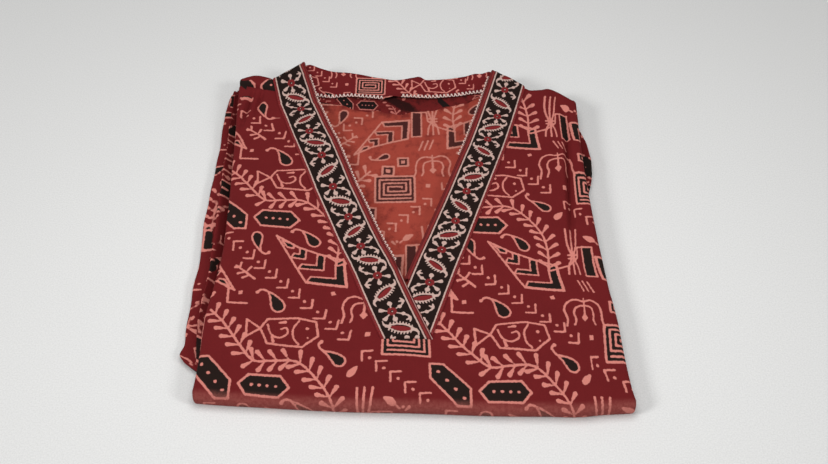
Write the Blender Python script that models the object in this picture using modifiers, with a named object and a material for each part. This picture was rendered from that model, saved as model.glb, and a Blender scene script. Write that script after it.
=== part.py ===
"""A folded kurta: a V-necked cotton tunic, folded into a flat rectangle and laid face up.

The front panel lies on top. It turns under at both sides, rolls over at the shoulders and goes
round the near fold to the underside, which is flat on the table. The back panel shows in the open
neck, with its facing. The sleeves are doubled under the sides, and the rest of the garment is the
layered bundle inside. +X is the wearer's left as the garment is seen, +Y points to the shoulders.
Sizes are in millimetres and become metres when a mesh is made.
"""

import math
from collections import namedtuple

import bmesh
import bpy
import numpy as np

MM = 0.001

# Cloth, as a wall
CLOTH = 1.1  # one layer of the panels
TAPE = 0.9  # the sewn-on neck border and its binding
SEAM = 0.3  # air left between two pieces that touch
LAYER_AIR = 0.6  # air between two panels that lie on each other
TAPE_LIFT = 0.5  # air under a tape
ROLL_LIFT = 0.5  # and this much more where the tape rolls over the shoulder

# The folded bundle
NEAR_HEIGHT = 13.0
SHOULDER_HEIGHT = 18.0
NEAR_LINE = -165.0
SHOULDER_LINE = 150.0
CENTRE_X = 2.3  # where the neck ends
TOP_LIP = 3.4  # radius of the side folds of the top layer
UNDER_LIP = 1.5  # and of the underside
LIP_TURN = math.radians(118)
SHOULDER_ROLL = 3.6
SHOULDER_TURN = math.radians(140)
UNDER_INSET = 1.5  # the underside is this much narrower on each side
UNDER_FAR = 128.0  # where the underside ends, near the shoulders

# Where the top layer is folded at the sides
SideFold = namedtuple("SideFold", "y left right")
SIDE_FOLDS = (
    SideFold(-176.0, -146.0, 157.0),
    SideFold(-160.0, -143.5, 155.5),
    SideFold(-135.0, -142.0, 154.0),
    SideFold(-95.0, -142.5, 152.5),
    SideFold(-50.0, -138.0, 150.5),
    SideFold(0.0, -138.5, 147.5),
    SideFold(40.0, -140.5, 144.5),
    SideFold(88.0, -143.0, 145.0),
    SideFold(120.0, -145.0, 147.0),
    SideFold(165.0, -147.0, 147.5),
)

# The near edge of the bundle, where the length is folded
NearEdge = namedtuple("NearEdge", "x y")
NEAR_EDGE = (
    NearEdge(-146.0, -164.0),
    NearEdge(-80.0, -169.5),
    NearEdge(0.0, -171.5),
    NearEdge(100.0, -172.8),
    NearEdge(157.0, -169.0),
)

# The far edge: left shoulder, back neckline, right shoulder
FarEdge = namedtuple("FarEdge", "x y")
FAR_EDGE = (
    FarEdge(-150.0, 155.0),
    FarEdge(-132.0, 158.5),
    FarEdge(-118.0, 154.0),
    FarEdge(-106.0, 161.0),
    FarEdge(-92.0, 170.5),
    FarEdge(-78.0, 166.5),
    FarEdge(-45.0, 158.0),
    FarEdge(-14.0, 153.5),
    FarEdge(4.0, 156.5),
    FarEdge(20.0, 154.0),
    FarEdge(50.0, 156.0),
    FarEdge(76.0, 161.5),
    FarEdge(90.0, 152.0),
    FarEdge(104.0, 139.5),
    FarEdge(116.0, 140.0),
    FarEdge(128.0, 137.0),
    FarEdge(138.0, 130.0),
    FarEdge(150.0, 117.0),
)

# Troughs (depth below nought) and ridges of the top layer, each along a straight line
Crease = namedtuple("Crease", "name x0 y0 x1 y1 width height")
CREASES = (
    Crease("right side trough", 134.0, 112.0, 127.0, -24.0, 7.5, -2.4),
    Crease("left side trough", -133.0, 92.0, -129.0, -10.0, 8.0, -1.2),
    Crease("left middle swell", -98.0, 20.0, -80.0, -70.0, 26.0, 0.9),
    Crease("right middle swell", 88.0, 30.0, 92.0, -70.0, 28.0, 0.8),
)

# The neck: centre lines of the border tapes run from their lower end to the shoulders
NECK_LOW = -117.0
NECK_RUN = 265.0
LEFT_TAPE = (0.2, -110.8, 9.85)  # x at the lower end, lean and bow over the run
RIGHT_TAPE = (3.5, 87.5, 0.0)
LEFT_TAPE_WIDTH = 25.0
RIGHT_TAPE_WIDTH = 27.0
TAPE_MARGIN = 3.6  # plain outer edge of the tape
BINDING_TOP = 8.4
BINDING_LOW = 5.6
RIGHT_BINDING_RISE = 0.165  # the right pair starts higher, where it comes out from under the left
RIGHT_BAND_RISE = 0.013
NECK_EDGE_UNDER = 1.6  # the panel's own edge stands back from the binding's
NECK_LIFT = 3.0  # the stiffened neck corners stand up
NECK_LIFT_REACH = 34.0
NECK_SAG = 3.0  # the back panel lies this much lower in the open neck
FACING_SIDE = 27.0
FACING_MIDDLE = 18.0
FACING_INSET = 1.9
FACING_LIFT = 2.2  # its loose edge stands off the back panel in the middle
NECK_GAP = 1.2  # from the front's cut edge to the columns that show
BACK_REACH = 26.0  # the back panel goes on this far under the front
SHOULDER_SPREAD = 3.2  # front and back part at the shoulder roll

# The doubled sleeves under the sides
SLEEVE_FLOOR = 2.6
SLEEVE_INSIDE = 15.0  # how far a sleeve reaches in under the top layer
Sleeve = namedtuple("Sleeve", "y upper lower")  # how far each fold stands out
LEFT_SLEEVE = (
    Sleeve(148.0, 1.5, 5.0),
    Sleeve(138.0, 4.0, 10.5),
    Sleeve(110.0, 6.0, 13.0),
    Sleeve(40.0, 8.5, 16.0),
    Sleeve(-20.0, 9.5, 17.5),
    Sleeve(-70.0, 7.5, 15.5),
    Sleeve(-105.0, 5.0, 14.0),
    Sleeve(-118.0, 3.0, 13.6),
    Sleeve(-127.0, 1.0, 15.6),
    Sleeve(-131.0, -1.0, 12.5),
)
RIGHT_SLEEVE = (
    Sleeve(108.0, -3.0, -2.0),
    Sleeve(92.0, 2.2, 3.0),
    Sleeve(60.0, 7.2, 8.2),
    Sleeve(40.0, 2.6, 4.0),
    Sleeve(18.0, -2.5, -1.0),
    Sleeve(-30.0, -3.5, -2.0),
    Sleeve(-85.0, -4.0, -3.0),
)
CUFF_SLANT = 0.8

# The layered bundle of everything else
BUNDLE_FLOOR = CLOTH + SEAM
BUNDLE_LIPS = 3
BUNDLE_LIP = 1.9  # how far each layer's edge bulges
BUNDLE_SIDE_INSET = 6.4
BUNDLE_FAR_INSET = 8.5
BUNDLE_PROBE = 9.0  # the bundle stays below the back panel this far all round

# How finely the sheets are divided
MIDDLE_COLUMNS = 6
EDGE_COLUMNS = (34.0, 24.0, 16.5, 9.5, 3.5, 0.0)  # distances from where the side fold begins
LIP_COLUMNS = 4
OPEN_COLUMNS = 13
OPEN_LEAST = 5.0  # the open columns never come nearer than this to the centre line
FACING_ROWS = (2.0, 1.5, 1.0, 0.75, 0.5, 0.25, 0.0)  # in facing widths from the neckline
FACING_ROWS_KEPT = 5  # the last of them, which carry the facing
FACING_SPAN = 2.4  # facing widths in one unit of a back row above one
ROLL_ROWS = 6

# Colours, linear
MAROON = (0.105, 0.012, 0.014)
RUST = (0.240, 0.035, 0.020)
DARK_RED = (0.130, 0.018, 0.016)
BLACK = (0.012, 0.008, 0.007)


def eased(value, low, high):
    """Nought below low, one above high and a smooth rise between them."""
    t = np.clip((value - low) / (high - low), 0.0, 1.0)
    return t * t * (3.0 - 2.0 * t)


def curve(table, key, column, at):
    """A smooth curve through one column of a table, read at a place in its key column."""
    xs = np.array([getattr(row, key) for row in table])
    ys = np.array([getattr(row, column) for row in table])
    order = np.argsort(xs)
    xs, ys = xs[order], ys[order]
    slopes = np.gradient(ys, xs)
    at = np.clip(at, xs[0], xs[-1])
    i = np.clip(np.searchsorted(xs, at) - 1, 0, len(xs) - 2)
    step = xs[i + 1] - xs[i]
    t = (at - xs[i]) / step
    return (
        ys[i] * (1 + 2 * t) * (1 - t) ** 2
        + ys[i + 1] * t * t * (3 - 2 * t)
        + step * (slopes[i] * t * (1 - t) ** 2 - slopes[i + 1] * t * t * (1 - t))
    )


# ---------------------------------------------------------------- the neck's lines


def tape_centre(side, y):
    """x of a border tape's centre line at y."""
    low, lean, bow = LEFT_TAPE if side < 0 else RIGHT_TAPE
    t = (y - NECK_LOW) / NECK_RUN
    return low + lean * t + bow * t * t


def tape_half(side, y):
    """Half the printed band's width, measured across in x."""
    step = 1.0
    slope = (tape_centre(side, y + step) - tape_centre(side, y)) / step
    width = LEFT_TAPE_WIDTH if side < 0 else RIGHT_TAPE_WIDTH
    return width / 2 * np.sqrt(1 + slope * slope)


def tape_inner(side, y):
    return tape_centre(side, y) - side * tape_half(side, y)


def tape_outer(side, y):
    return tape_centre(side, y) + side * (tape_half(side, y) + TAPE_MARGIN)


def binding_inner(side, y):
    width = BINDING_LOW + (BINDING_TOP - BINDING_LOW) * eased(y, NECK_LOW, 40.0)
    return tape_inner(side, y) - side * width


def panel_neck_edge(side, y):
    """The front panel's own cut edge, which ends on the centre line below the opening."""
    x = binding_inner(side, y) + side * NECK_EDGE_UNDER
    return np.maximum(x, CENTRE_X) if side > 0 else np.minimum(x, CENTRE_X)


def neck_apex():
    """The lowest y at which the neck is open."""
    y = np.linspace(NECK_LOW, 0.0, 2000)
    width = panel_neck_edge(1, y) - panel_neck_edge(-1, y)
    return float(y[np.argmax(width > 0.05)])


# ---------------------------------------------------------------- heights


def crease_height(crease, x, y):
    """How far one crease raises or lowers the top layer."""
    dx, dy = crease.x1 - crease.x0, crease.y1 - crease.y0
    run = dx * dx + dy * dy
    t = np.clip(((x - crease.x0) * dx + (y - crease.y0) * dy) / run, 0.0, 1.0)
    off = np.hypot(x - crease.x0 - t * dx, y - crease.y0 - t * dy)
    taper = 0.35 + 0.65 * np.sin(math.pi * t)
    return crease.height * taper * np.exp(-((off / crease.width) ** 2))


def roof(x, y):
    """Height of the front panel's face above the table."""
    share = np.clip((y - NEAR_LINE) / (SHOULDER_LINE - NEAR_LINE), 0.0, 1.1)
    height = NEAR_HEIGHT + (SHOULDER_HEIGHT - NEAR_HEIGHT) * share
    for side in (-1, 1):
        corner = tape_inner(side, SHOULDER_LINE)
        away = np.hypot(x - corner, 0.6 * (y - SHOULDER_LINE - 8.0)) / NECK_LIFT_REACH
        height = height + NECK_LIFT * np.exp(-(away**2))
    for crease in CREASES:
        height = height + crease_height(crease, x, y)
    return height


def in_neck(x, y):
    """Nought outside the open neck, one well inside it."""
    left = x - binding_inner(-1, y)
    right = binding_inner(1, y) - x
    return eased(np.minimum(left, right), -9.0, 9.0)


def back_height(x, y):
    """Height of the back panel's upper face."""
    height = roof(x, y) - CLOTH - LAYER_AIR
    neckline = curve(FAR_EDGE, "x", "y", x)
    rising = eased(y, neckline - 24.0, neckline - 3.0)
    height = height - NECK_SAG * in_neck(x, y) * (1 - rising)
    at_shoulder = 1 - eased(x, -98.0, -84.0) + eased(x, 71.0, 85.0)
    return height - SHOULDER_SPREAD * at_shoulder * eased(y, neckline - 34.0, neckline - 6.0)


# ---------------------------------------------------------------- the front panel's sheet


def near_radius(x):
    """Half the bundle's height at the near fold, so that the underside is at nought."""
    return roof(x, curve(NEAR_EDGE, "x", "y", x) + NEAR_HEIGHT / 2) / 2


def near_tangent(x):
    return curve(NEAR_EDGE, "x", "y", x) + near_radius(x)


def far_tangent(x):
    return curve(FAR_EDGE, "x", "y", x) - SHOULDER_ROLL


def row_y(x, share):
    """y of a row that lies a share of the way from the near fold to the shoulders."""
    near, far = near_tangent(x), far_tangent(x)
    return near + share * (far - near)


def meet(line, share):
    """x at which a line, given as x of y, crosses a row."""
    x = line(NEAR_LINE + share * (SHOULDER_LINE - NEAR_LINE))
    for _ in range(12):
        x = 0.5 * x + 0.5 * line(row_y(x, share))
    return x


Station = namedtuple("Station", "part place")  # a row of the sheet: which part, and where in it


def sheet_point(x, station, depth):
    """A point of the front panel's sheet, depth below its face."""
    if station.part == "top":
        y = row_y(x, station.place)
        return np.stack([x, y, roof(x, y) - depth], -1)
    if station.part == "under":
        y = near_tangent(x) + station.place * (UNDER_FAR - near_tangent(x))
        return np.stack([x, y, np.zeros_like(x) + depth], -1)
    if station.part == "near":
        radius, angle = near_radius(x), station.place
        arm = radius - depth
        y = near_tangent(x) - arm * math.sin(angle)
        return np.stack([x, y, radius + arm * math.cos(angle)], -1)
    angle, arm = station.place, SHOULDER_ROLL - depth
    centre = roof(x, far_tangent(x)) - SHOULDER_ROLL
    return np.stack([x, far_tangent(x) + arm * math.sin(angle), centre + arm * math.cos(angle)], -1)


def lip_of(station):
    """Radius and inset of the side fold at a station."""
    if station.part == "under":
        return UNDER_LIP, UNDER_INSET
    if station.part == "near":
        turned = station.place / math.pi
        return TOP_LIP + turned * (UNDER_LIP - TOP_LIP), UNDER_INSET * turned
    return TOP_LIP, 0.0


def share_of(station):
    """The row of the top layer whose side fold a station takes."""
    if station.part == "top":
        return station.place
    return {"near": 0.0, "under": station.place * 0.9, "shoulder": 1.0}[station.part]


def side_row(side, station):
    """Points of half a row, from the neck or the centre line out round the side fold."""
    radius, inset = lip_of(station)
    share = share_of(station)
    column = "left" if side < 0 else "right"
    fold = meet(lambda y: curve(SIDE_FOLDS, "y", column, y), share)
    tangent = fold - side * (radius + inset)
    open_row = station.part in ("top", "shoulder")
    inner = meet(lambda y: panel_neck_edge(side, y), share) if open_row else CENTRE_X
    knee = tangent - side * EDGE_COLUMNS[0]
    middle = inner + (knee - inner) * np.linspace(0.0, 1.0, MIDDLE_COLUMNS)
    x = np.concatenate([middle, tangent - side * np.array(EDGE_COLUMNS[1:])])
    flat = sheet_point(x, station, 0.0)
    turns = np.linspace(0.0, LIP_TURN, LIP_COLUMNS + 1)[1:]
    depth = radius * (1 - np.cos(turns))
    lip = sheet_point(np.full(LIP_COLUMNS, tangent), station, depth)
    lip[:, 0] += side * radius * np.sin(turns)
    return np.concatenate([flat, lip])


def top_shares():
    """The rows of the top layer, with one at the neck's apex."""
    apex = neck_apex()
    low = (apex - near_tangent(CENTRE_X)) / (far_tangent(CENTRE_X) - near_tangent(CENTRE_X))
    below = np.linspace(0.0, low, 7)
    above = np.linspace(low, 1.0, 15)
    return np.concatenate([below, above[1:]])


def front_stations():
    under = [Station("under", p) for p in np.linspace(1.0, 0.0, 6)[:-1]]
    near = [Station("near", a) for a in np.linspace(math.pi, 0.0, 8)[:-1]]
    top = [Station("top", s) for s in top_shares()]
    turns = np.linspace(0.0, SHOULDER_TURN, ROLL_ROWS)[1:]
    return under + near + top + [Station("shoulder", a) for a in turns]


# ---------------------------------------------------------------- making objects


def add_grid(mesh, points, flip):
    """Adds the quads of a grid of points to a bmesh."""
    rows = [[mesh.verts.new(p * MM) for p in row] for row in points]
    for low, high in zip(rows, rows[1:]):
        for i in range(len(low) - 1):
            quad = [low[i], low[i + 1], high[i + 1], high[i]]
            mesh.faces.new(quad[::-1] if flip else quad)
    return rows


def finish(name, mesh, material, thickness=None, offset=-1.0):
    """Turns a bmesh into a named object, with a wall of the given thickness."""
    bmesh.ops.remove_doubles(mesh, verts=mesh.verts, dist=0.02 * MM)
    data = bpy.data.meshes.new(name)
    mesh.to_mesh(data)
    mesh.free()
    data.materials.append(material)
    data.shade_smooth()
    obj = bpy.data.objects.new(name, data)
    KURTA.objects.link(obj)
    if thickness:
        wall = obj.modifiers.new("wall", "SOLIDIFY")
        wall.thickness = thickness * MM
        wall.offset = offset
    return obj


def cloth(name, linear, roughness=0.85):
    material = bpy.data.materials.new(name)
    material.use_nodes = True
    shader = material.node_tree.nodes["Principled BSDF"]
    shader.inputs["Base Color"].default_value = (*linear, 1.0)
    shader.inputs["Roughness"].default_value = roughness
    shader.inputs["Metallic"].default_value = 0.0
    return material


def front_panel(material):
    """The front: top layer, near fold and underside in one wall."""
    mesh = bmesh.new()
    stations = front_stations()
    for side in (-1, 1):
        rows = [side_row(side, station) for station in stations]
        add_grid(mesh, rows, flip=side > 0)
    for face in mesh.faces:
        face.normal_flip()
    return finish("front_panel", mesh, material, CLOTH)


def facing_width(x):
    left, right = panel_neck_edge(-1, 150.0), panel_neck_edge(1, 150.0)
    middle = np.sin(math.pi * np.clip((x - left) / (right - left), 0.0, 1.0))
    return FACING_SIDE + (FACING_MIDDLE - FACING_SIDE) * middle


def back_row_y(x, row):
    """y along a row of the back panel: rows above one count in widths of the facing."""
    if row <= 1.0:
        return row_y(x, row)
    return curve(FAR_EDGE, "x", "y", x) - 0.4 - (2.0 - row) * FACING_SPAN * facing_width(x)


def back_rows():
    """Rows of the back panel: shares of the length, then facing widths from the neckline."""
    low = top_shares()[5]
    along = np.linspace(low, 0.72, 9)
    return [*along, *(2.0 - np.array(FACING_ROWS) / FACING_SPAN)]


def open_columns(row, gap):
    """x of the columns that show in the neck: they follow the front's cut edges."""
    ends = []
    for side in (-1, 1):
        x = CENTRE_X
        for _ in range(14):
            edge = panel_neck_edge(side, back_row_y(x, row)) - side * gap
            edge = side * max(side * edge, side * CENTRE_X + OPEN_LEAST)
            x = 0.5 * x + 0.5 * edge
        ends.append(float(x))
    return np.linspace(*ends, OPEN_COLUMNS)


def back_panel(material):
    """The back, as it shows in the neck and at the shoulders."""
    rows = []
    for row in back_rows():
        shown = open_columns(row, NECK_GAP)
        hidden = np.array([1.6, BACK_REACH / 2, BACK_REACH])
        x = np.concatenate([shown[0] - hidden[::-1], shown, shown[-1] + hidden])
        x = np.clip(x, -133.0, 131.0)
        y = back_row_y(x, row)
        seam = curve(FAR_EDGE, "x", "y", x) - SHOULDER_ROLL - CLOTH - 0.8
        is_hidden = (x < shown[0]) | (x > shown[-1])
        y = np.where(is_hidden, np.minimum(y, seam), y)
        if rows and y[0] < rows[-1][0, 1] + 0.5:
            continue
        rows.append(np.stack([x, y, back_height(x, y)], -1))
    mesh = bmesh.new()
    add_grid(mesh, rows, flip=False)
    return finish("back_panel", mesh, material, CLOTH)


def back_neck_facing(material):
    """The strip that lines the back neckline, loose at its lower edge."""
    rows = []
    for row in back_rows()[-FACING_ROWS_KEPT:]:
        x = open_columns(row, NECK_GAP)
        x = x[0] + FACING_INSET + (x - x[0]) * (1 - 2 * FACING_INSET / (x[-1] - x[0]))
        y = back_row_y(x, row)
        middle = np.sin(math.pi * np.linspace(0.0, 1.0, len(x)))
        loose = ((2.0 - row) * FACING_SPAN) ** 1.5
        lift = SEAM + 0.2 + CLOTH + FACING_LIFT * middle * loose
        rows.append(np.stack([x, y, back_height(x, y) + lift], -1))
    mesh = bmesh.new()
    add_grid(mesh, rows, flip=False)
    return finish("back_neck_facing", mesh, material, CLOTH)


def neck_strip(name, side, inner, outer, low_share, columns, material):
    """A strip of tape along the neck, lying on the front panel's points."""
    shares = [s for s in top_shares() if s > low_share + 0.004]
    stations = [Station("top", s) for s in [low_share, *shares]]
    stations += [Station("shoulder", a) for a in np.linspace(0.0, SHOULDER_TURN, ROLL_ROWS)[1:3]]
    rows = []
    for station in stations:
        share = share_of(station)
        x0, x1 = meet(inner, share), meet(outer, share)
        x = np.linspace(x0, x1, columns)
        lift = TAPE_LIFT + (ROLL_LIFT if station.part == "shoulder" else 0.0)
        rows.append(sheet_point(x, station, -(lift + TAPE)))
    mesh = bmesh.new()
    add_grid(mesh, rows, flip=side < 0)
    return finish(name, mesh, material, TAPE)


def beside_left_binding(line, gap):
    """A line of the right pair, kept to the right of the left binding that laps over it."""

    def kept(y):
        return np.maximum(line(y), binding_inner(-1, y) + gap)

    return kept


def neck_tapes(band, edge):
    """Border tapes and bindings: the left pair laps over the end of the right pair."""
    near, far = near_tangent(CENTRE_X), far_tangent(CENTRE_X)
    low = (NECK_LOW - near) / (far - near)

    def line(of, side, out=0.0):
        return lambda y: of(side, y) - side * out

    neck_strip(
        "neck_binding_left", -1, line(binding_inner, -1), line(tape_inner, -1, SEAM), low, 4, edge
    )
    neck_strip("neck_border_left", -1, line(tape_inner, -1), line(tape_outer, -1), low, 6, band)
    neck_strip(
        "neck_binding_right",
        1,
        beside_left_binding(line(binding_inner, 1), SEAM),
        beside_left_binding(line(tape_inner, 1, SEAM), 2 * SEAM),
        low + RIGHT_BINDING_RISE,
        4,
        edge,
    )
    neck_strip(
        "neck_border_right",
        1,
        beside_left_binding(line(tape_inner, 1), SEAM),
        line(tape_outer, 1),
        low + RIGHT_BAND_RISE,
        6,
        band,
    )


def sleeve(word, side, table, material):
    """A sleeve doubled under the side: a wall in two folds, seen as two rounded edges."""
    rows = []
    places = np.array([row.y for row in table])
    for y in np.unique(np.concatenate([places, np.arange(places.min(), places.max(), 30.0)])):
        fold = curve(SIDE_FOLDS, "y", "left" if side < 0 else "right", y)
        upper = curve(table, "y", "upper", y)
        lower = curve(table, "y", "lower", y)
        room = roof(fold - side * TOP_LIP, y) - TOP_LIP * (1 - math.cos(LIP_TURN)) - SEAM
        levels = SLEEVE_FLOOR + (room - SLEEVE_FLOOR) * np.array([0.915, 0.625, 0.405, 0.085])
        out = np.concatenate(
            [
                np.linspace(-SLEEVE_INSIDE, upper, 5)[:-1],
                fold_arc(upper, levels[0], levels[1])[0],
                [upper - 4.0, -4.0],
                fold_arc(-5.5, levels[1], levels[2], -1.0)[0],
                [-4.0, 0.5 * lower],
                fold_arc(lower, levels[2], levels[3])[0],
                np.linspace(lower, -SLEEVE_INSIDE, 5)[1:],
            ]
        )
        rise = np.concatenate(
            [
                np.full(4, levels[0]),
                fold_arc(upper, levels[0], levels[1])[1],
                np.full(2, levels[1]),
                fold_arc(-5.5, levels[1], levels[2], -1.0)[1],
                np.full(2, levels[2]),
                fold_arc(lower, levels[2], levels[3])[1],
                np.full(4, levels[3]),
            ]
        )
        slant = CUFF_SLANT * (1 - eased(y, places.min(), places.min() + 60.0))
        ys = y - slant * (lower - np.maximum(out, -2.0))
        rows.append(np.stack([fold + side * out, ys, rise], -1))
    mesh = bmesh.new()
    add_grid(mesh, rows, flip=side < 0)
    return finish(f"sleeve_{word}", mesh, material, 1.0, offset=0.0)


def fold_arc(reach, high, low, way=1.0):
    """Half a circle from one level to the next, its crown at the reach."""
    radius = abs(high - low) / 2
    turns = np.linspace(0.0, math.pi, 5)
    return reach - way * radius + way * radius * np.sin(turns), (high + low) / 2 + (
        high - low
    ) / 2 * np.cos(turns)


def bundle_outline(share):
    """Left and right x of the bundle at a row: it makes room for the sleeves."""
    y = NEAR_LINE + share * (SHOULDER_LINE - NEAR_LINE)
    beside = SLEEVE_INSIDE + BUNDLE_LIP + 1.2 - BUNDLE_SIDE_INSET
    left = curve(SIDE_FOLDS, "y", "left", y) + BUNDLE_SIDE_INSET
    right = curve(SIDE_FOLDS, "y", "right", y) - BUNDLE_SIDE_INSET
    left += beside * eased(y, -163.0, -151.0)
    right -= beside * eased(y, -121.0, -105.0)
    return left, right


def bundle_top(x, y):
    """Height of the bundle, below the lowest of the back panel round about."""
    probes = [(0, 0), (1, 0), (-1, 0), (0, 1), (0, -1)]
    around = [back_height(x + BUNDLE_PROBE * dx, y + BUNDLE_PROBE * dy) for dx, dy in probes]
    return np.min(around, axis=0) - CLOTH - LAYER_AIR


def folded_layers(material):
    """Everything folded away inside: one solid with a rounded edge for each layer."""
    shares = np.concatenate([np.linspace(0.0, 0.24, 6), np.linspace(0.32, 1.0, 10)])
    across = np.linspace(0.0, 1.0, 15)
    plan = []
    for share in shares:
        left, right = bundle_outline(share)
        x = left + (right - left) * across
        near = near_tangent(x) - 1.0
        far = curve(FAR_EDGE, "x", "y", x) - BUNDLE_FAR_INSET
        plan.append(np.stack([x, near + share * (far - near)], -1))
    plan = np.array(plan)
    mesh = bmesh.new()
    top = np.concatenate([plan, bundle_top(plan[..., 0], plan[..., 1])[..., None]], -1)
    low = np.concatenate([plan, np.full(plan.shape[:2] + (1,), BUNDLE_FLOOR)], -1)
    add_grid(mesh, top, flip=False)
    add_grid(mesh, low, flip=True)
    ring, base = ring_of(top), ring_of(low)
    out = outward(base[:, :2])
    skirt = [ring]
    for layer in range(BUNDLE_LIPS):
        for turn in np.linspace(0.0, math.pi, 5)[1:]:
            level = (layer + (1 - math.cos(turn)) / 2) / BUNDLE_LIPS
            points = ring + (base - ring) * level
            points[:, :2] += out * BUNDLE_LIP * math.sin(turn)
            skirt.append(points)
    skirt[-1] = base
    closed = [np.concatenate([loop, loop[:1]]) for loop in skirt]
    add_grid(mesh, closed[::-1], flip=False)
    return finish("folded_layers", mesh, material)


def ring_of(grid):
    """The border of a grid of points, once round."""
    return np.concatenate([grid[0, :-1], grid[:-1, -1], grid[-1, :0:-1], grid[:0:-1, 0]])


def outward(ring):
    """The outward direction at each point of a ring that runs anticlockwise."""
    along = np.roll(ring, -1, 0) - np.roll(ring, 1, 0)
    along /= np.linalg.norm(along, axis=1)[:, None]
    return np.stack([along[:, 1], -along[:, 0]], -1)


def main():
    for obj in list(bpy.data.objects):
        bpy.data.objects.remove(obj)
    bpy.context.scene.collection.children.link(KURTA)
    printed = cloth("printed_cotton", MAROON)
    reverse = cloth("printed_cotton_reverse", RUST)
    band = cloth("border_cotton", BLACK)
    edge = cloth("binding_cotton", DARK_RED)
    front_panel(printed)
    back_panel(reverse)
    back_neck_facing(printed)
    neck_tapes(band, edge)
    sleeve("left", -1, LEFT_SLEEVE, printed)
    sleeve("right", 1, RIGHT_SLEEVE, printed)
    folded_layers(printed)


KURTA = bpy.data.collections.new("folded_kurta")
main()
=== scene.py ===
"""A folded cotton kurta, dressed over its solids.

Each cloth is a fine grid on the surface of its solid, within a few millimetres. The block print is
drawn from charts of motifs as two distance fields, one for the pale lines and one for the filled
shapes, and each cloth carries them as attributes. Lengths are in millimetres until a mesh is made:
x runs to the wearer's left, y from the near fold to the shoulders, z up. Side is -1 for the left of
the view and 1 for the right.
"""

import math
from collections import namedtuple

import bpy
import numpy as np
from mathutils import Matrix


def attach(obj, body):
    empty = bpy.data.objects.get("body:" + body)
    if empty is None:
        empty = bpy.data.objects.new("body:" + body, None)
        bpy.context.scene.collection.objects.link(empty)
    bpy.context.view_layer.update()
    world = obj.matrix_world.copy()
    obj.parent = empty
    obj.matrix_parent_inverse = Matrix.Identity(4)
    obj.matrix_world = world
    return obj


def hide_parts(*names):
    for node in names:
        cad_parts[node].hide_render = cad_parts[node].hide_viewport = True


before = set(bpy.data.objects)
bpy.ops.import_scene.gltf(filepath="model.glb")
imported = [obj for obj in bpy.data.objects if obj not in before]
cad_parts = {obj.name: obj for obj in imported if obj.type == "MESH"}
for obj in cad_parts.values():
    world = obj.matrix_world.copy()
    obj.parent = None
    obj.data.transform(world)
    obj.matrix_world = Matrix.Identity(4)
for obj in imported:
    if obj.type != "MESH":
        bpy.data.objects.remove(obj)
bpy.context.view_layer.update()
MM = 0.001


def table(columns, *rows):
    """Rows of numbers, with the names of their columns."""
    row = namedtuple("Row", columns)
    return tuple(row(*map(float, values)) for values in rows)


# ---------------------------------------------------------------- sizes of the folded bundle

CLOTH = 1.1  # how thick the solids have the cloth and the tape
TAPE = 0.9
LAYER_AIR = 0.6  # how far apart the layers lie, and the tape lies above the front
TAPE_LIFT = 0.5
NEAR_HEIGHT = 13.0
SHOULDER_HEIGHT = 18.0
NEAR_LINE = -165.0
SHOULDER_LINE = 150.0
CENTRE_X = 2.3
TOP_LIP = 3.4  # radius of the side folds, above and beneath the bundle
UNDER_LIP = 1.5
LIP_TURN = math.radians(118)
SHOULDER_ROLL = 3.6
SHOULDER_TURN = math.radians(140)
UNDER_INSET = 1.5
UNDER_FAR = 128.0  # where the front's return beneath the bundle ends

# x of the two side folds
SIDE_FOLDS = table(
    "y left right",
    (-176, -146, 158), (-160, -143.2, 154.8), (-135, -142, 152.8), (-95, -142.5, 151.4),
    (-70, -139.8, 148.9), (-50, -138, 147.8), (0, -138.5, 145.5), (20, -139.4, 144.9),
    (40, -140.5, 144.5), (88, -143, 145.2), (120, -145, 146.2), (165, -147, 145.5),
)  # fmt: skip
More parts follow.
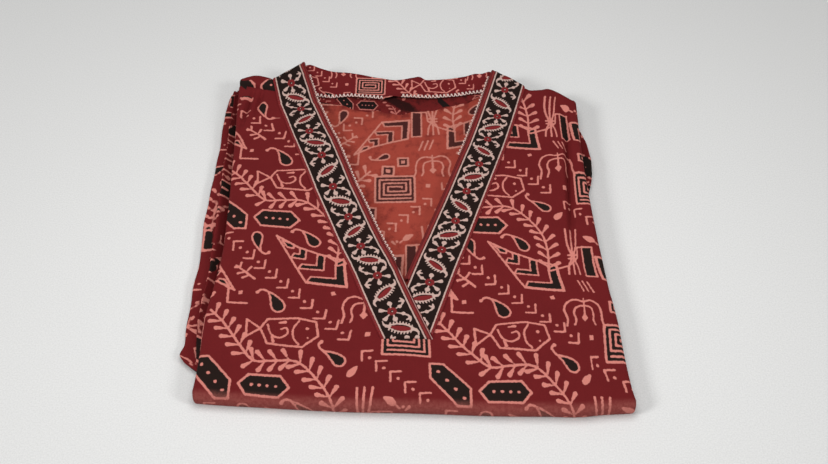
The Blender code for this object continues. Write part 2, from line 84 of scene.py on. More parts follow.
# y of the near fold and of the shoulders, at each x
NEAR_EDGE = table(
    "x y",
    (-146, -163), (-120, -165.2), (-94, -166.7), (-64, -168.7), (-34, -170.1), (6, -170.9),
    (30, -171.9), (66, -173.2), (96, -173.4), (118, -173.8), (136, -171.9), (146, -171.4),
    (158, -170.7),
)  # fmt: skip
FAR_EDGE = table(
    "x y",
    (-150, 151.8), (-132, 158), (-121, 154.4), (-115.5, 151.6), (-106, 158.3), (-98, 164.5),
    (-91.5, 169.5), (-86, 170.4), (-77, 166.4), (-45, 158), (-20, 154.5), (-12, 153.6), (4, 156.5),
    (20, 154), (50, 155.8), (76, 160.5), (83, 155), (90, 151), (97, 145.3), (104, 140.4),
    (116, 139.3), (124, 140.8), (130, 137.8), (138, 131), (150, 120.3),
)  # fmt: skip
Crease = namedtuple("Crease", "name x0 y0 x1 y1 width height")
CREASES = (
    Crease("right side trough", 136.0, 112.0, 126.5, -28.0, 2.4, -5.0),
    Crease("right side roll", 141.5, 100.0, 138.0, -16.0, 5.0, 0.8),
    Crease("left side trough", -139.0, 96.0, -138.0, -60.0, 4.5, -1.6),
    Crease("left middle swell", -98.0, 20.0, -80.0, -70.0, 26.0, 0.9),
    Crease("right middle swell", 88.0, 30.0, 92.0, -70.0, 28.0, 0.8),
    Crease("left shoulder tuck", -150.0, 149.0, -114.0, 137.0, 1.7, -5.2),
    Crease("left shoulder cap", -144.0, 138.5, -118.0, 136.5, 3.4, 1.3),
    Crease("left shoulder gather", -132.0, 138.0, -138.0, 96.0, 2.1, -3.2),
    Crease("left shoulder fine gather", -142.0, 136.0, -143.0, 108.0, 1.8, -1.3),
    Crease("beside the left tape", -28.0, -72.0, -14.5, -116.0, 1.0, -0.55),
    Crease("beside the right tape", 33.0, -86.0, 24.0, -114.0, 0.9, 0.6),
    Crease("left gather", -124.0, 137.0, -128.0, 108.0, 2.1, -2.6),
    Crease("right shoulder dip", 107.0, 138.0, 110.0, 104.0, 3.4, -1.7),
    Crease("right cap ridge", 121.0, 131.0, 130.0, 106.0, 4.5, 1.0),
    Crease("right cap groove", 131.5, 124.0, 134.0, 100.0, 3.0, -1.2),
    Crease("near left ripple", -96.0, -158.0, -64.0, -150.0, 6.0, -0.5),
    Crease("drag under the neck", -18.0, -124.0, -52.0, -150.0, 8.0, -0.5),
    Crease("right near ripple", 58.0, -140.0, 118.0, -152.0, 9.0, 0.45),
    Crease("left lower dent", -128.0, -60.0, -118.0, -100.0, 8.0, -0.6),
)

NECK_LOW = -117.0  # y of the neck's point, and how far it runs up from there
NECK_RUN = 265.0
LEFT_TAPE = (-0.7, -110.8, 9.85)  # x where its middle starts, how far it leans and how far it bows
RIGHT_TAPE = (3.5, 87.5, 0.0)
LEFT_TAPE_WIDTH = 26.7
RIGHT_TAPE_WIDTH = 27.0
TAPE_MARGIN = 2.5
# how far each tape is pulled aside and wider, and its flowers on past their places
LEFT_TAPE_BENDS = table(
    "y aside wider ahead",
    (-117, 1.35, 0.5, 1.6), (-92, 1.4, 0.6, 1.6), (-76, 1.6, 0.7, 1.6), (-60, 2, 0.7, 1.6),
    (-50, 1.8, 0.3, 1.6), (-36, 0.9, 0, 0.9), (-20, 0.45, 0, -1.2), (-10, 0.4, 0.1, -2.7),
    (8, 0.25, 0.3, -1.6), (24, 0, 0.35, 0.2), (44, 0.4, 0.5, 1.1), (62, 0.5, 0.8, 2.7),
    (76, 0.3, 1, 1.5), (84, -0.15, 0.5, 0.7), (92, -0.5, 0.1, -0.4), (104, -0.85, -0.2, -3.8),
    (118, -1.5, -0.5, -8.1), (124, -1.2, -0.6, -8), (134, -0.3, -1, -7.3), (152, 1, -2, -1.6),
)  # fmt: skip
RIGHT_TAPE_BENDS = table(
    "y aside wider ahead",
    (-64, -1.4, 1.15, -0.7), (-44, -1.1, 0.95, -0.7), (-28, -0.5, 0.65, -0.7),
    (-10, -0.1, 0.4, -0.7), (8, 0.25, 0.05, -1), (26, 0.5, 0, 0), (44, 0.8, 0.1, 1),
    (68, 1.18, -0.1, -1), (84, 1, -0.28, -2.5), (100, 0.7, -0.5, -4.1), (116, 0.2, -0.65, -5.2),
    (132, -0.45, -0.8, -3.9), (150, -1.4, -0.95, -2.1),
)  # fmt: skip
LEFT_BINDING_TOP = 4.5  # widths of the bindings at the shoulder, and of both at the foot
RIGHT_BINDING_TOP = 4.8
BINDING_LOW = 4.4
NECK_EDGE_UNDER = 1.6  # how far the front's cut edge lies under its binding
NECK_LIFT = 3.0  # how far the neck's corners stand up, and how far round about
NECK_LIFT_REACH = 34.0
NECK_SAG = 3.0  # how far the back sinks in the open neck
SHOULDER_SPREAD = 3.2  # how far the layers part under the shoulders
RIGHT_BINDING_RISE = 51.0  # the right pair starts this much higher, coming out from under the left
RIGHT_BAND_RISE = 3.5

# how far the two folds of each doubled sleeve reach past the side fold
LEFT_SLEEVE = table(
    "y upper lower",
    (150, 3, 6.8), (143, 4, 8.6), (130, 5.2, 10.4), (120, 5.8, 11.9), (110, 6, 12.4),
    (75, 7.2, 13.9), (40, 8.5, 16.4), (-20, 9.5, 19.2), (-38, 9.2, 17.9), (-60, 8, 18),
    (-80, 7, 15.5), (-105, 5, 13.5), (-116, 3, 13.4), (-125.2, 1, 15.4), (-129.2, -1, 12.5),
)  # fmt: skip
RIGHT_SLEEVE = table(
    "y upper lower",
    (108, -3, -2), (92, 3.2, 4), (60, 7.4, 8.6), (50, 6.8, 8.3), (40, 4.6, 6.3), (30, 1.4, 2.9),
    (18, -2.5, -1), (-30, -3.5, -2), (-85, -4, -3),
)  # fmt: skip
SLEEVE_FLOOR = 2.6
SLEEVE_INSIDE = 15.0  # how far the sleeves reach in under the front
CUFF_SLANT = 0.8
SEAM = 0.3  # the least gap between cloths that touch

# ---------------------------------------------------------------- how finely each cloth is divided

PANEL_CELL = 0.76  # the cells of each grid, about as fine as the print's own edges
UNDER_CELL = 1.7
BACK_CELL = 0.8
TAPE_CELL = 0.5
SLEEVE_CELL = 1.0
CHART_CELL = 0.25
TAPE_CHART_CELL = 0.15
HALF_WIDTH = 145.0  # rough lengths that say how many cells a grid needs
PANEL_LENGTH = 326.0
RETURN_LENGTH = 290.0
BACK_LENGTH = 262.0
NECK_WIDTH = 150.0


def eased(value, low, high):
    """Nought below low, one above high and a smooth rise between them."""
    t = np.clip((value - low) / (high - low), 0.0, 1.0)
    return t * t * (3.0 - 2.0 * t)


def curve(rows, key, column, at):
    """A smooth curve through one column of a table, read at a place in its key column."""
    rows = sorted(rows, key=lambda row: getattr(row, key))
    xs = np.array([getattr(row, key) for row in rows])
    ys = np.array([getattr(row, column) for row in rows])
    slopes = np.gradient(ys, xs)
    at = np.clip(at, xs[0], xs[-1])
    i = np.clip(np.searchsorted(xs, at) - 1, 0, len(xs) - 2)
    step = xs[i + 1] - xs[i]
    t = (at - xs[i]) / step
    return (
        ys[i] * (1 + 2 * t) * (1 - t) ** 2
        + ys[i + 1] * t * t * (3 - 2 * t)
        + step * (slopes[i] * t * (1 - t) ** 2 - slopes[i + 1] * t * t * (1 - t))
    )


# ---------------------------------------------------------------- the neck's lines


def tape_bend(side, name, y):
    """One column of the tape's table of bends."""
    rows = LEFT_TAPE_BENDS if side < 0 else RIGHT_TAPE_BENDS
    return np.interp(y, [row.y for row in rows], [getattr(row, name) for row in rows])


def tape_centre(side, y):
    low, lean, bow = LEFT_TAPE if side < 0 else RIGHT_TAPE
    t = (y - NECK_LOW) / NECK_RUN
    return low + lean * t + bow * t * t + tape_bend(side, "aside", y)


def tape_slope(side, y):
    """How far the tape's middle moves in x for each millimetre of y."""
    return tape_centre(side, y + 0.5) - tape_centre(side, y - 0.5)


def tape_width(side, y):
    return (LEFT_TAPE_WIDTH if side < 0 else RIGHT_TAPE_WIDTH) + tape_bend(side, "wider", y)


def tape_half(side, y):
    return tape_width(side, y) / 2 * np.sqrt(1 + tape_slope(side, y) ** 2)


def tape_inner(side, y):
    return tape_centre(side, y) - side * tape_half(side, y)


def tape_outer(side, y):
    return tape_centre(side, y) + side * (tape_half(side, y) + TAPE_MARGIN)


def binding_width(side, y):
    top = LEFT_BINDING_TOP if side < 0 else RIGHT_BINDING_TOP
    return BINDING_LOW + (top - BINDING_LOW) * eased(y, NECK_LOW, 40.0)


def binding_inner(side, y):
    return tape_inner(side, y) - side * binding_width(side, y)


def panel_neck_edge(side, y):
    x = binding_inner(side, y) + side * NECK_EDGE_UNDER
    return np.maximum(x, CENTRE_X) if side > 0 else np.minimum(x, CENTRE_X)


# ---------------------------------------------------------------- heights


def crease_height(crease, x, y):
    dx, dy = crease.x1 - crease.x0, crease.y1 - crease.y0
    t = np.clip(((x - crease.x0) * dx + (y - crease.y0) * dy) / (dx * dx + dy * dy), 0.0, 1.0)
    off = np.hypot(x - crease.x0 - t * dx, y - crease.y0 - t * dy)
    taper = 0.35 + 0.65 * np.sin(math.pi * t)
    return crease.height * taper * np.exp(-((off / crease.width) ** 2))


def ripple(x, y):
    """The small unevenness of cloth that was pressed and then folded."""
    wave = 0.16 * np.sin(x / 11.0 + 1.3 * np.sin(y / 37.0)) * np.sin(y / 23.0 + 0.7)
    wave += 0.13 * np.sin(y / 9.0 + 1.7 * np.sin(x / 29.0) + 0.4) * np.sin(x / 31.0)
    return wave + 0.05 * np.sin(x / 4.1 + y / 6.3) * np.sin(y / 5.2 - x / 9.7)


def roof(x, y):
    """Height of the front panel's face above the table."""
    share = np.clip((y - NEAR_LINE) / (SHOULDER_LINE - NEAR_LINE), 0.0, 1.1)
    height = NEAR_HEIGHT + (SHOULDER_HEIGHT - NEAR_HEIGHT) * share
    for side in (-1, 1):
        corner = tape_inner(side, SHOULDER_LINE)
        away = np.hypot(x - corner, 0.6 * (y - SHOULDER_LINE - 8.0)) / NECK_LIFT_REACH
        height = height + NECK_LIFT * np.exp(-(away**2))
    for crease in CREASES:
        height = height + crease_height(crease, x, y)
    return height + ripple(x, y)


def in_neck(x, y):
    """One inside the open neck, nought outside it."""
    left = x - binding_inner(-1, y)
    right = binding_inner(1, y) - x
    return eased(np.minimum(left, right), -9.0, 9.0)


def back_height(x, y):
    """Height of the back panel's upper face."""
    neckline = curve(FAR_EDGE, "x", "y", x)
    rising = eased(y, neckline - 24.0, neckline - 3.0)
    height = roof(x, y) - CLOTH - LAYER_AIR - NECK_SAG * in_neck(x, y) * (1 - rising)
    at_shoulder = 1 - eased(x, -98.0, -84.0) + eased(x, 71.0, 85.0)
    return height - SHOULDER_SPREAD * at_shoulder * eased(y, neckline - 34.0, neckline - 6.0)


# ---------------------------------------------------------------- the front panel's sheet


def near_radius(x):
    return roof(x, curve(NEAR_EDGE, "x", "y", x) + NEAR_HEIGHT / 2) / 2


def near_tangent(x):
    return curve(NEAR_EDGE, "x", "y", x) + near_radius(x)


def far_tangent(x):
    return curve(FAR_EDGE, "x", "y", x) - SHOULDER_ROLL


def row_y(x, share):
    """y at a share of the way from the near fold to the shoulder."""
    near, far = near_tangent(x), far_tangent(x)
    return near + share * (far - near)


def meet(line, share):
    """x at which a line, given as x of y, crosses each row."""
    x = line(NEAR_LINE + share * (SHOULDER_LINE - NEAR_LINE))
    for _ in range(12):
        x = 0.5 * x + 0.5 * line(row_y(x, share))
    return x


def sheet_point(part, place, x, depth):
    """Points of the front's sheet at a depth below its face, and how far along the cloth each is."""
    if part == "top":
        y = row_y(x, place)
        return (x, y, roof(x, y) - depth), y
    near, far = near_tangent(x), far_tangent(x)
    if part == "under":
        y = near + place * (UNDER_FAR - near)
        return (x, y, 0 * x + depth), near - math.pi * near_radius(x) - (y - near)
    if part == "near":
        radius = near_radius(x)
        arm = radius - depth
        point = (x, near - arm * np.sin(place), radius + arm * np.cos(place))
        return point, near - radius * place
    arm, centre = SHOULDER_ROLL - depth, roof(x, far) - SHOULDER_ROLL
    point = (x, far + arm * np.sin(place), centre + arm * np.cos(place))
    return point, far + SHOULDER_ROLL * place


def lip_of(part, place):
    """Radius and inset of the side fold at each row."""
    if part == "under":
        return UNDER_LIP + 0 * place, UNDER_INSET + 0 * place
    turned = place / math.pi if part == "near" else 0 * place
    return TOP_LIP + turned * (UNDER_LIP - TOP_LIP), UNDER_INSET * turned


def share_of(part, place):
    """The row of the top face whose side fold each place of a part follows."""
    if part == "top":
        return place
    return {"near": 0 * place, "under": place * 0.9, "shoulder": 1 + 0 * place}[part]


# ---------------------------------------------------------------- meshes from grids

Grid = namedtuple("Grid", "points cloth")  # where each corner is, in space and on the flat cloth


def grid_of(points, cloth):
    points = np.stack(np.broadcast_arrays(*points), -1)
    cloth = np.stack([np.broadcast_to(c, points.shape[:-1]) for c in cloth], -1)
    return Grid(points, cloth)


def stacked(grids, axis):
    return Grid(*(np.concatenate([getattr(g, f) for g in grids], axis) for f in Grid._fields))


def shown(name, data):
    """A new object in the scene."""
    made = bpy.data.objects.new(name, data)
    bpy.context.scene.collection.objects.link(made)
    return made


def make_mesh(name, grid, fields, material, flip=False):
    """One piece of cloth from a grid, with its two maps and the fields of its print.

    The map for baking fills its square, and the map named cloth is in mm along the threads.
    """
    rows, columns = grid.points.shape[:2]
    index = np.arange(rows * columns).reshape(rows, columns)
    corners = [index[:-1, :-1], index[:-1, 1:], index[1:, 1:], index[1:, :-1]]
    quads = np.stack([c.ravel() for c in corners], -1)
    loops = (quads[:, ::-1] if flip else quads).ravel()
    mesh = bpy.data.meshes.new(name)
    mesh.vertices.add(rows * columns)
    mesh.vertices.foreach_set("co", (grid.points * MM).ravel())
    mesh.loops.add(len(loops))
    mesh.loops.foreach_set("vertex_index", loops.astype(np.int32))
    mesh.polygons.add(len(quads))
    mesh.polygons.foreach_set("loop_start", np.arange(0, len(loops), 4, dtype=np.int32))
    mesh.update(calc_edges=True)
    cloth = grid.cloth.reshape(-1, 2)[loops]
    low = cloth.min(0)
    u, v = cloth.reshape(-1, 4, 2).transpose(2, 1, 0)
    layout = (cloth - low) / (cloth.max(0) - low).max() * 0.98 + 0.01
    for layer, places in (("OFBake", layout), ("cloth", cloth)):
        mesh.uv_layers.new(name=layer).data.foreach_set("uv", places.ravel())
    for field, values in fields.items():
        attribute = mesh.attributes.new(name=field, type="FLOAT", domain="POINT")
        attribute.data.foreach_set("value", values.ravel().astype(np.float32))
    mesh.shade_smooth()
    mesh.materials.append(material)
    return shown(name, mesh)


# ---------------------------------------------------------------- charts of the block print

FAR_OFF = 40.0  # a distance that means nothing is near
DRAWN_MARGIN = 3.0  # how far round a mark its distances are worked out
LINE = 0.72  # half the width of a printed outline
Mark = namedtuple("Mark", "field points half closed filled")
Chart = namedtuple("Chart", "left low cell fields")  # its fields repeat in both directions


def line(points, half=LINE, closed=False, field="line"):
    """A drawn line: two half widths make it swell or taper from its start to its end."""
    return Mark(field, points, half, closed, False)


def area(points, field="fill", grow=0.0):
    return Mark(field, points, grow, True, True)


def dot(x, y, radius, field="line"):
    return Mark(field, [(x, y)], radius, False, False)


def both(points, half=LINE):
    """A black shape with a pink outline."""
    return [area(points), line(points, half, closed=True)]


def smooth(points, closed=False, steps=5):
    """A soft curve through a few points."""
    p = np.array(points, float)
    if closed:
        p = np.concatenate([p[-1:], p, p[:2]])
    else:
        p = np.concatenate([2 * p[:1] - p[1:2], p, 2 * p[-1:] - p[-2:-1]])
    t = np.linspace(0, 1, steps, endpoint=False)[:, None]
    out = []
    for a, b, c, d in zip(p, p[1:], p[2:], p[3:]):
        bend = (2 * a - 5 * b + 4 * c - d) * t * t + (3 * b - a - 3 * c + d) * t**3
        out.append(0.5 * (2 * b + (c - a) * t + bend))
    out = np.concatenate(out)
    return out if closed else np.concatenate([out, p[-2:-1]])


def distance_to(mark, x, y):
    """Distance from each place to a mark's edge, below nought inside it."""
    points = np.array(mark.points, float)
    half = np.broadcast_to(np.asarray(mark.half, float), (2,))
    if len(points) == 1:
        return np.hypot(x - points[0, 0], y - points[0, 1]) - half[0]
    ends = np.roll(points, -1, 0) if mark.closed else points[1:]
    best = np.full(x.shape, FAR_OFF)
    inside = np.zeros(x.shape, bool)
    for i, ((ax, ay), (bx, by)) in enumerate(zip(points, ends)):
        dx, dy = bx - ax, by - ay
        t = np.clip(((x - ax) * dx + (y - ay) * dy) / (dx * dx + dy * dy + 1e-9), 0, 1)
        away = np.hypot(x - ax - t * dx, y - ay - t * dy)
        width = half[0] + (half[1] - half[0]) * (i + t) / max(len(ends), 1)
        best = np.minimum(best, away if mark.filled else away - width)
        if mark.filled:
            crosses = (ay > y) != (by > y)
            inside ^= crosses & (x < dx * (y - ay) / (by - ay + 1e-12) + ax)
    return np.where(inside, -best, best) - half[0] if mark.filled else best


def placed(marks, x, y, turn=0.0, size=1.0, mirror=False):
    """Marks turned, sized and moved to their place. The widths of lines stay."""
    c, s = math.cos(math.radians(turn)) * size, math.sin(math.radians(turn)) * size
    way = -1.0 if mirror else 1.0
    moved = []
    for mark in marks:
        p = np.array(mark.points, float) * (way, 1.0)
        p = np.stack([p[:, 0] * c - p[:, 1] * s + x, p[:, 0] * s + p[:, 1] * c + y], -1)
        moved.append(mark._replace(points=p))
    return moved


def blank_chart(left, low, width, height, cell):
    shape = (round(height / cell), round(width / cell))
    return Chart(left, low, cell, {name: np.full(shape, FAR_OFF) for name in ("line", "fill")})


def draw(chart, marks):
    """Adds marks to a chart: each field keeps the nearest."""
    rows, columns = chart.fields["line"].shape
    for mark in marks:
        p = np.array(mark.points, float)
        low = np.floor((p.min(0) - DRAWN_MARGIN - (chart.left, chart.low)) / chart.cell).astype(int)
        high = np.ceil((p.max(0) + DRAWN_MARGIN - (chart.left, chart.low)) / chart.cell).astype(int)
        i, j = np.arange(low[0], high[0]), np.arange(low[1], high[1])
        x, y = np.meshgrid(chart.left + i * chart.cell, chart.low + j * chart.cell)
        window = np.ix_(j % rows, i % columns)
        field = chart.fields[mark.field]
        field[window] = np.minimum(field[window], distance_to(mark, x, y))
    return chart


def read_chart(chart, field, x, y):
    """A chart's field at places on the cloth, read between its cells."""
    values = chart.fields[field]
    rows, columns = values.shape
    i, j = (x - chart.left) / chart.cell, (y - chart.low) / chart.cell
    i0, j0 = np.floor(i).astype(int), np.floor(j).astype(int)
    s, t = i - i0, j - j0
    low, high = (
        values[row, i0 % columns] * (1 - s) + values[row, (i0 + 1) % columns] * s
        for row in (j0 % rows, (j0 + 1) % rows)
    )
    return low * (1 - t) + high * t


# ---------------------------------------------------------------- motifs of the main print


def paisley(tail=((-8.6, 8.2), (-11.6, 9.4), (-14.4, 9.2), (-16.2, 7.0))):
    """A drop with a curled tail: its point is up and to the left."""
    drop = smooth(
        [(-8.6, 8.2), (-3.4, 6.2), (1.8, 3.0), (4.9, -0.8), (4.7, -4.4), (1.4, -6.4), (-2.6, -4.8),
         (-4.8, -0.4), (-6.6, 4.4)],
        closed=True,
    )  # fmt: skip
    return [*both(drop), line(smooth(tail), (0.75, 0.95)), dot(*tail[-1], 1.4)]


def climbing_paisley():
    return paisley(((-8.6, 8.2), (-10.8, 11.4), (-11.4, 15.0), (-8.8, 16.6)))


def cartouche():
    """A long six-sided shape with a row of dots."""
    shape = [(-17.5, 0.3), (-11.2, 7.8), (10.6, 8.2), (17.3, 0.2), (11.0, -8.0), (-11.6, -7.7)]
    return [*both(shape, 0.85), *(dot(x, 0.2, 1.15) for x in (-8.2, -2.8, 2.7, 8.3))]


def slanted_cartouche():
    shape = [(-14.0, 16.5), (-4.5, 16.5), (12.8, -2.0), (12.8, -15.7), (3.6, -15.7), (-14.0, 4.5)]
    return [*both(shape, 0.85), *(dot(x, -1.2 * x, 1.25) for x in (-8.3, -2.8, 2.8, 8.3))]


def chevron_leaf():
    """A pointed leaf filled with nested chevrons: its tip is at nought."""
    outline = [(0, 0), (17, -10.2), (36, -17), (52.5, -22), (53.3, -46.8), (25.5, -43)]
    chevrons = (
        [(4.5, -4.0), (14.0, -8.0), (13.5, -11.5), (9.0, -10.5)],
        [(18.5, -11.0), (23.5, -12.7), (23.3, -21.5), (12.7, -20.0), (14.7, -16.0), (18.7, -16.8)],
        [(32.0, -16.0), (37.5, -18.0), (37.5, -31.5), (18.8, -30.0), (21.2, -26.0), (32.0, -27.0)],
        [(46.0, -20.5), (52.0, -22.5), (52.6, -46.0), (26.0, -42.3), (28.3, -37.3), (46.0, -38.8)],
    )
    marks = [line(outline, 0.8, closed=True)]
    for chevron in chevrons:
        marks += both(chevron, 0.66)
    return marks


def key_square():
    """A square key: a spiral of straight lines on black."""
    half_w, half_h, pitch = 17.0, 13.6, 3.7
    marks = both([(-half_w, -half_h), (half_w, -half_h), (half_w, half_h), (-half_w, half_h)], 0.85)
    x, y = half_w - pitch, half_h - pitch
    path = [(-x, -y)]
    while min(x, y) > 0.8:
        path += [(x, -y), (x, y), (-x, y)]
        y -= pitch
        path += [(-x, -y)]
        x -= pitch
        path += [(x, -y)]
    return [*marks, line(path[:-1], 0.78)]


def small_key():
    square = [(-5.2, -5.2), (5.2, -5.2), (5.2, 5.2), (-5.2, 5.2)]
    inner = [(-2.0, -2.0), (2.0, -2.0), (2.0, 2.0), (-2.0, 2.0)]
    return [*both(square, 0.9), area(inner, "line")]


def corner_and_dot():
    """A square corner, open up and to the left, with a dot in it."""
    return [line([(-4.0, -3.5), (3.3, -3.8), (3.6, 3.8)], 0.76), dot(-1.7, 2.0, 1.2)]


def vine():
    """A stem that runs down, along and down again, with paired leaves leaning back."""
    stem = smooth(
        [(-34.0, 42.0), (-24.0, 31.0), (-12.5, 15.0), (0.0, 1.0), (14.0, 1.0), (31.0, 0.6),
         (45.0, -12.0), (55.0, -27.0), (58.5, -42.0), (58.5, -55.0), (58.0, -62.0)],
        steps=8,
    )  # fmt: skip
    marks = [line(stem, (0.9, 0.8))]
    steps = np.hypot(*(np.diff(stem, axis=0).T))
    along = np.concatenate([[0.0], np.cumsum(steps)])
    for place in np.arange(5.0, along[-1] - 3.0, 8.3):
        x, y = np.interp(place, along, stem[:, 0]), np.interp(place, along, stem[:, 1])
        nx, ny = np.interp(place + 1, along, stem[:, 0]), np.interp(place + 1, along, stem[:, 1])
        heading = math.atan2(ny - y, nx - x)
        for lean, length in ((2.2, 9.2), (-2.25, 8.6)):
            cx, cy = math.cos(heading + lean), math.sin(heading + lean)
            knee = (x + 0.45 * length * cx, y + 0.45 * length * cy)
            marks.append(line([(x, y), knee], (0.5, 0.7)))
            marks.append(line([knee, (x + length * cx, y + length * cy)], (0.9, 1.75)))
    return marks


def fish():
    """A plain fish with cut corners, a gill, an eye and a curl on its side."""
    body = [(-17.5, 1.0), (-13.5, 8.6), (5.5, 10.2), (17.5, 7.6), (20.0, -3.0), (10.5, -11.0),
            (-12.0, -9.4)]  # fmt: skip
    tail = [(-17.5, 1.0), (-27.0, 7.6), (-26.0, -5.6)]
    gill = smooth([(6.8, 8.0), (3.8, 2.0), (4.8, -5.0), (8.2, -9.0)])
    curl = smooth([(-13.0, 4.4), (-10.0, -2.6), (-4.4, -4.8), (0.4, -1.8), (-0.6, 2.4), (-4.0, 1.6)])
    marks = [line(body, 0.8, closed=True), line(tail, 0.8, closed=True), line(gill), line(curl)]
    marks += [dot(12.6, 2.4, 1.3), line([(-9.5, -4.2), (-8.0, -7.8)], (0.6, 1.2))]
    marks += [line([(-6.0, 6.2), (-1.8, 6.8)], (0.6, 1.2)), dot(13.6, -4.4, 0.8)]
    return marks


def arches():
    """A double arch over a stem with a diamond."""
    outer = smooth([(-15.0, -15.0), (-14.4, -8.0), (-16.4, 0.0), (-13.8, 7.0), (-8.0, 9.6), (-1.0, 7.6),
                    (7.0, 8.8), (13.4, 5.0), (15.6, -3.0), (16.0, -9.0), (18.0, -15.0)])  # fmt: skip
    inner = smooth([(-9.2, -14.0), (-8.2, -9.0), (-9.6, -3.0), (-7.4, 2.4), (0.0, 3.8), (7.0, 2.0),
                    (9.0, -4.0), (8.8, -9.0), (10.6, -13.0)])  # fmt: skip
    diamond = [(-3.2, -7.0), (-1.1, -4.6), (-0.7, -2.0), (0.7, -2.0), (1.1, -4.6), (3.2, -7.0),
               (0.0, -11.0)]  # fmt: skip
    return [line(outer, 0.76), line(inner, 0.76), line([(0.0, 10.6), (0.0, -3.0)], (0.6, 0.95)),
            area(diamond, "line")]  # fmt: skip


def tally():
    return [line([(x, 6.0 - 0.3 * x), (x + 2.2, -6.0 - 0.3 * x)], 0.75) for x in (-5.0, 0.0, 5.0)]


def reed_sheaf():
    """Reeds bound at the waist."""
    marks = []
    for foot, waist, head in ((-5.0, -1.2, -5.5), (0.0, 0.0, -0.5), (5.0, 1.2, 5.0)):
        reed = [(foot, -19.0), (foot * 0.8, -11.0), (waist, -2.0), (head * 0.75, 10.0), (head, 26.0)]
        marks.append(line(smooth(reed), (0.75, 0.85)))
    marks += [line([(-3.8, -0.6), (3.9, -0.2)], 0.8), line([(-3.6, -3.8), (3.8, -3.4)], 0.8)]
    return marks


def stepped_line():
    """A line that climbs in steps to the top of the bar beside it."""
    return [line([(-14.0, -12.5), (0.0, -7.5), (9.0, 0.5), (10.0, 10.6), (21.0, 10.6)], 0.75)]


def upright_bar():
    """A tall black bar in a pink frame."""
    return both([(-4.4, -14.4), (4.4, -15.0), (4.4, 14.2), (-4.2, 14.6)])


def sprig():
    """A little twig with four side shoots."""
    shoots = [((-3.5, 3.0), (-7.0, 3.4)), ((-3.2, 2.8), (-2.8, 7.4)), ((1.2, -1.0), (-4.4, -2.2)),
              ((1.6, -1.2), (4.8, 3.6)), ((4.4, -3.6), (-0.6, -6.2))]  # fmt: skip
    marks = [line([(-6.4, 5.2), (8.4, -7.0)], (0.6, 0.95))]
    return marks + [line(shoot, (0.55, 0.95)) for shoot in shoots]


def leaf_drop():
    drop = smooth([(4.0, 5.2), (3.0, 0.2), (-0.6, -2.9), (-3.0, -1.6), (-2.0, 2.4)], True)
    return [area(drop, "line")]


def small_square():
    return [area([(-1.9, -2.0), (2.0, -1.8), (1.8, 2.0), (-2.0, 1.9)], "line")]


def wide_corner():
    corner = line([(-6.5, 8.5), (-6.0, -5.4), (8.5, -6.4)], 0.85)
    return [corner, *placed(small_square(), 2.6, 3.4, 0, 0.8)]


def bud():
    """A broad leaf on a short stalk, with two drops."""
    leaf = smooth([(0.0, 0.0), (-4.2, 1.0), (-7.6, 7.4), (-2.2, 6.2), (0.2, 3.2)], True)
    return [area(leaf, "line"), line([(-0.6, 1.0), (2.0, -2.6)], (0.5, 0.8)), dot(4.6, -2.0, 1.15),
            line([(5.4, -5.0), (8.2, -3.0)], (0.5, 1.3))]  # fmt: skip


Place = namedtuple("Place", "motif x y turn size mirror", defaults=(0.0, 1.0, False))
REPEAT_WIDTH = 162.0
REPEAT_HEIGHT = 145.0
REPEAT_LEAN = 4.5  # how far the cloth's grain is off the garment's own lines, in one repeat
MAIN_PRINT = (
    Place(vine, -105.0, -135.5),
    Place(cartouche, -95.0, -154.0, -2.0),
    Place(slanted_cartouche, -131.0, -149.0),
    Place(fish, -82.5, -111.0, -2.0, 1.12),
    Place(chevron_leaf, -98.0, -25.5),
    Place(chevron_leaf, 38.0, -79.5, 181.5, 0.9),
    Place(paisley, -70.5, -28.0),
    Place(paisley, -91.0, -87.5, -10.0, 1.08),
    Place(paisley, -113.0, -29.0, 154.0, 0.92),
    Place(climbing_paisley, -46.0, -132.5, 14.0, 0.92),
    Place(paisley, 11.0, -82.5, 205.0, 0.72),
    Place(key_square, 1.2, -117.0, -1.0),
    Place(small_key, 7.5, -97.5, 2.0, 0.95),
    Place(small_key, -5.5, -87.5, -2.0, 0.85),
    Place(arches, -31.5, -90.0, -2.0, 0.95),
    Place(tally, -27.0, -68.5, 8.0, 0.9),
    Place(reed_sheaf, -27.5, -182.0, -2.0),
    Place(stepped_line, -36.5, -40.0),
    Place(upright_bar, -17.5, -43.5),
    Place(sprig, -119.0, -58.0),
    Place(wide_corner, -122.0, -80.5),
    Place(leaf_drop, -36.5, -144.0),
    Place(bud, -6.0, -169.5, 10.0),
    Place(small_square, -27.0, -113.5),
    Place(small_square, -54.0, -78.0, 12.0, 0.8),
    Place(corner_and_dot, -126.5, -35.5, 186.0),
    Place(corner_and_dot, -136.0, -27.0, 182.0),
    *(Place(corner_and_dot, -117.0 + 9.3 * k, -43.0 - 8.9 * k) for k in range(9)),
    *(Place(corner_and_dot, -26.3 + 9.9 * k, -131.0 - 8.4 * k, 184.0) for k in range(5)),
)


def main_chart():
    """The front's print on its own repeat, whose axes lean a little."""
    chart = blank_chart(0.0, 0.0, REPEAT_WIDTH, REPEAT_HEIGHT, CHART_CELL)
    for place in MAIN_PRINT:
        marks = placed(place.motif(), *place[1:])
        draw(chart, [m._replace(points=np.stack(on_grain(*m.points.T), -1)) for m in marks])
    return chart


def on_grain(x, y):
    """Places along the cloth's own leaning grain."""
    return x + REPEAT_LEAN * y / REPEAT_HEIGHT, y + REPEAT_LEAN * x / REPEAT_WIDTH


# ---------------------------------------------------------------- the border's flowers and leaves

FLOWER_REPEAT = 65.1
TAPE_CHART_WIDTH = 32.0


def ring(radius, count=18):
    turns = np.linspace(0, 2 * math.pi, count, endpoint=False)
    return np.stack([radius * np.cos(turns), radius * np.sin(turns)], -1)


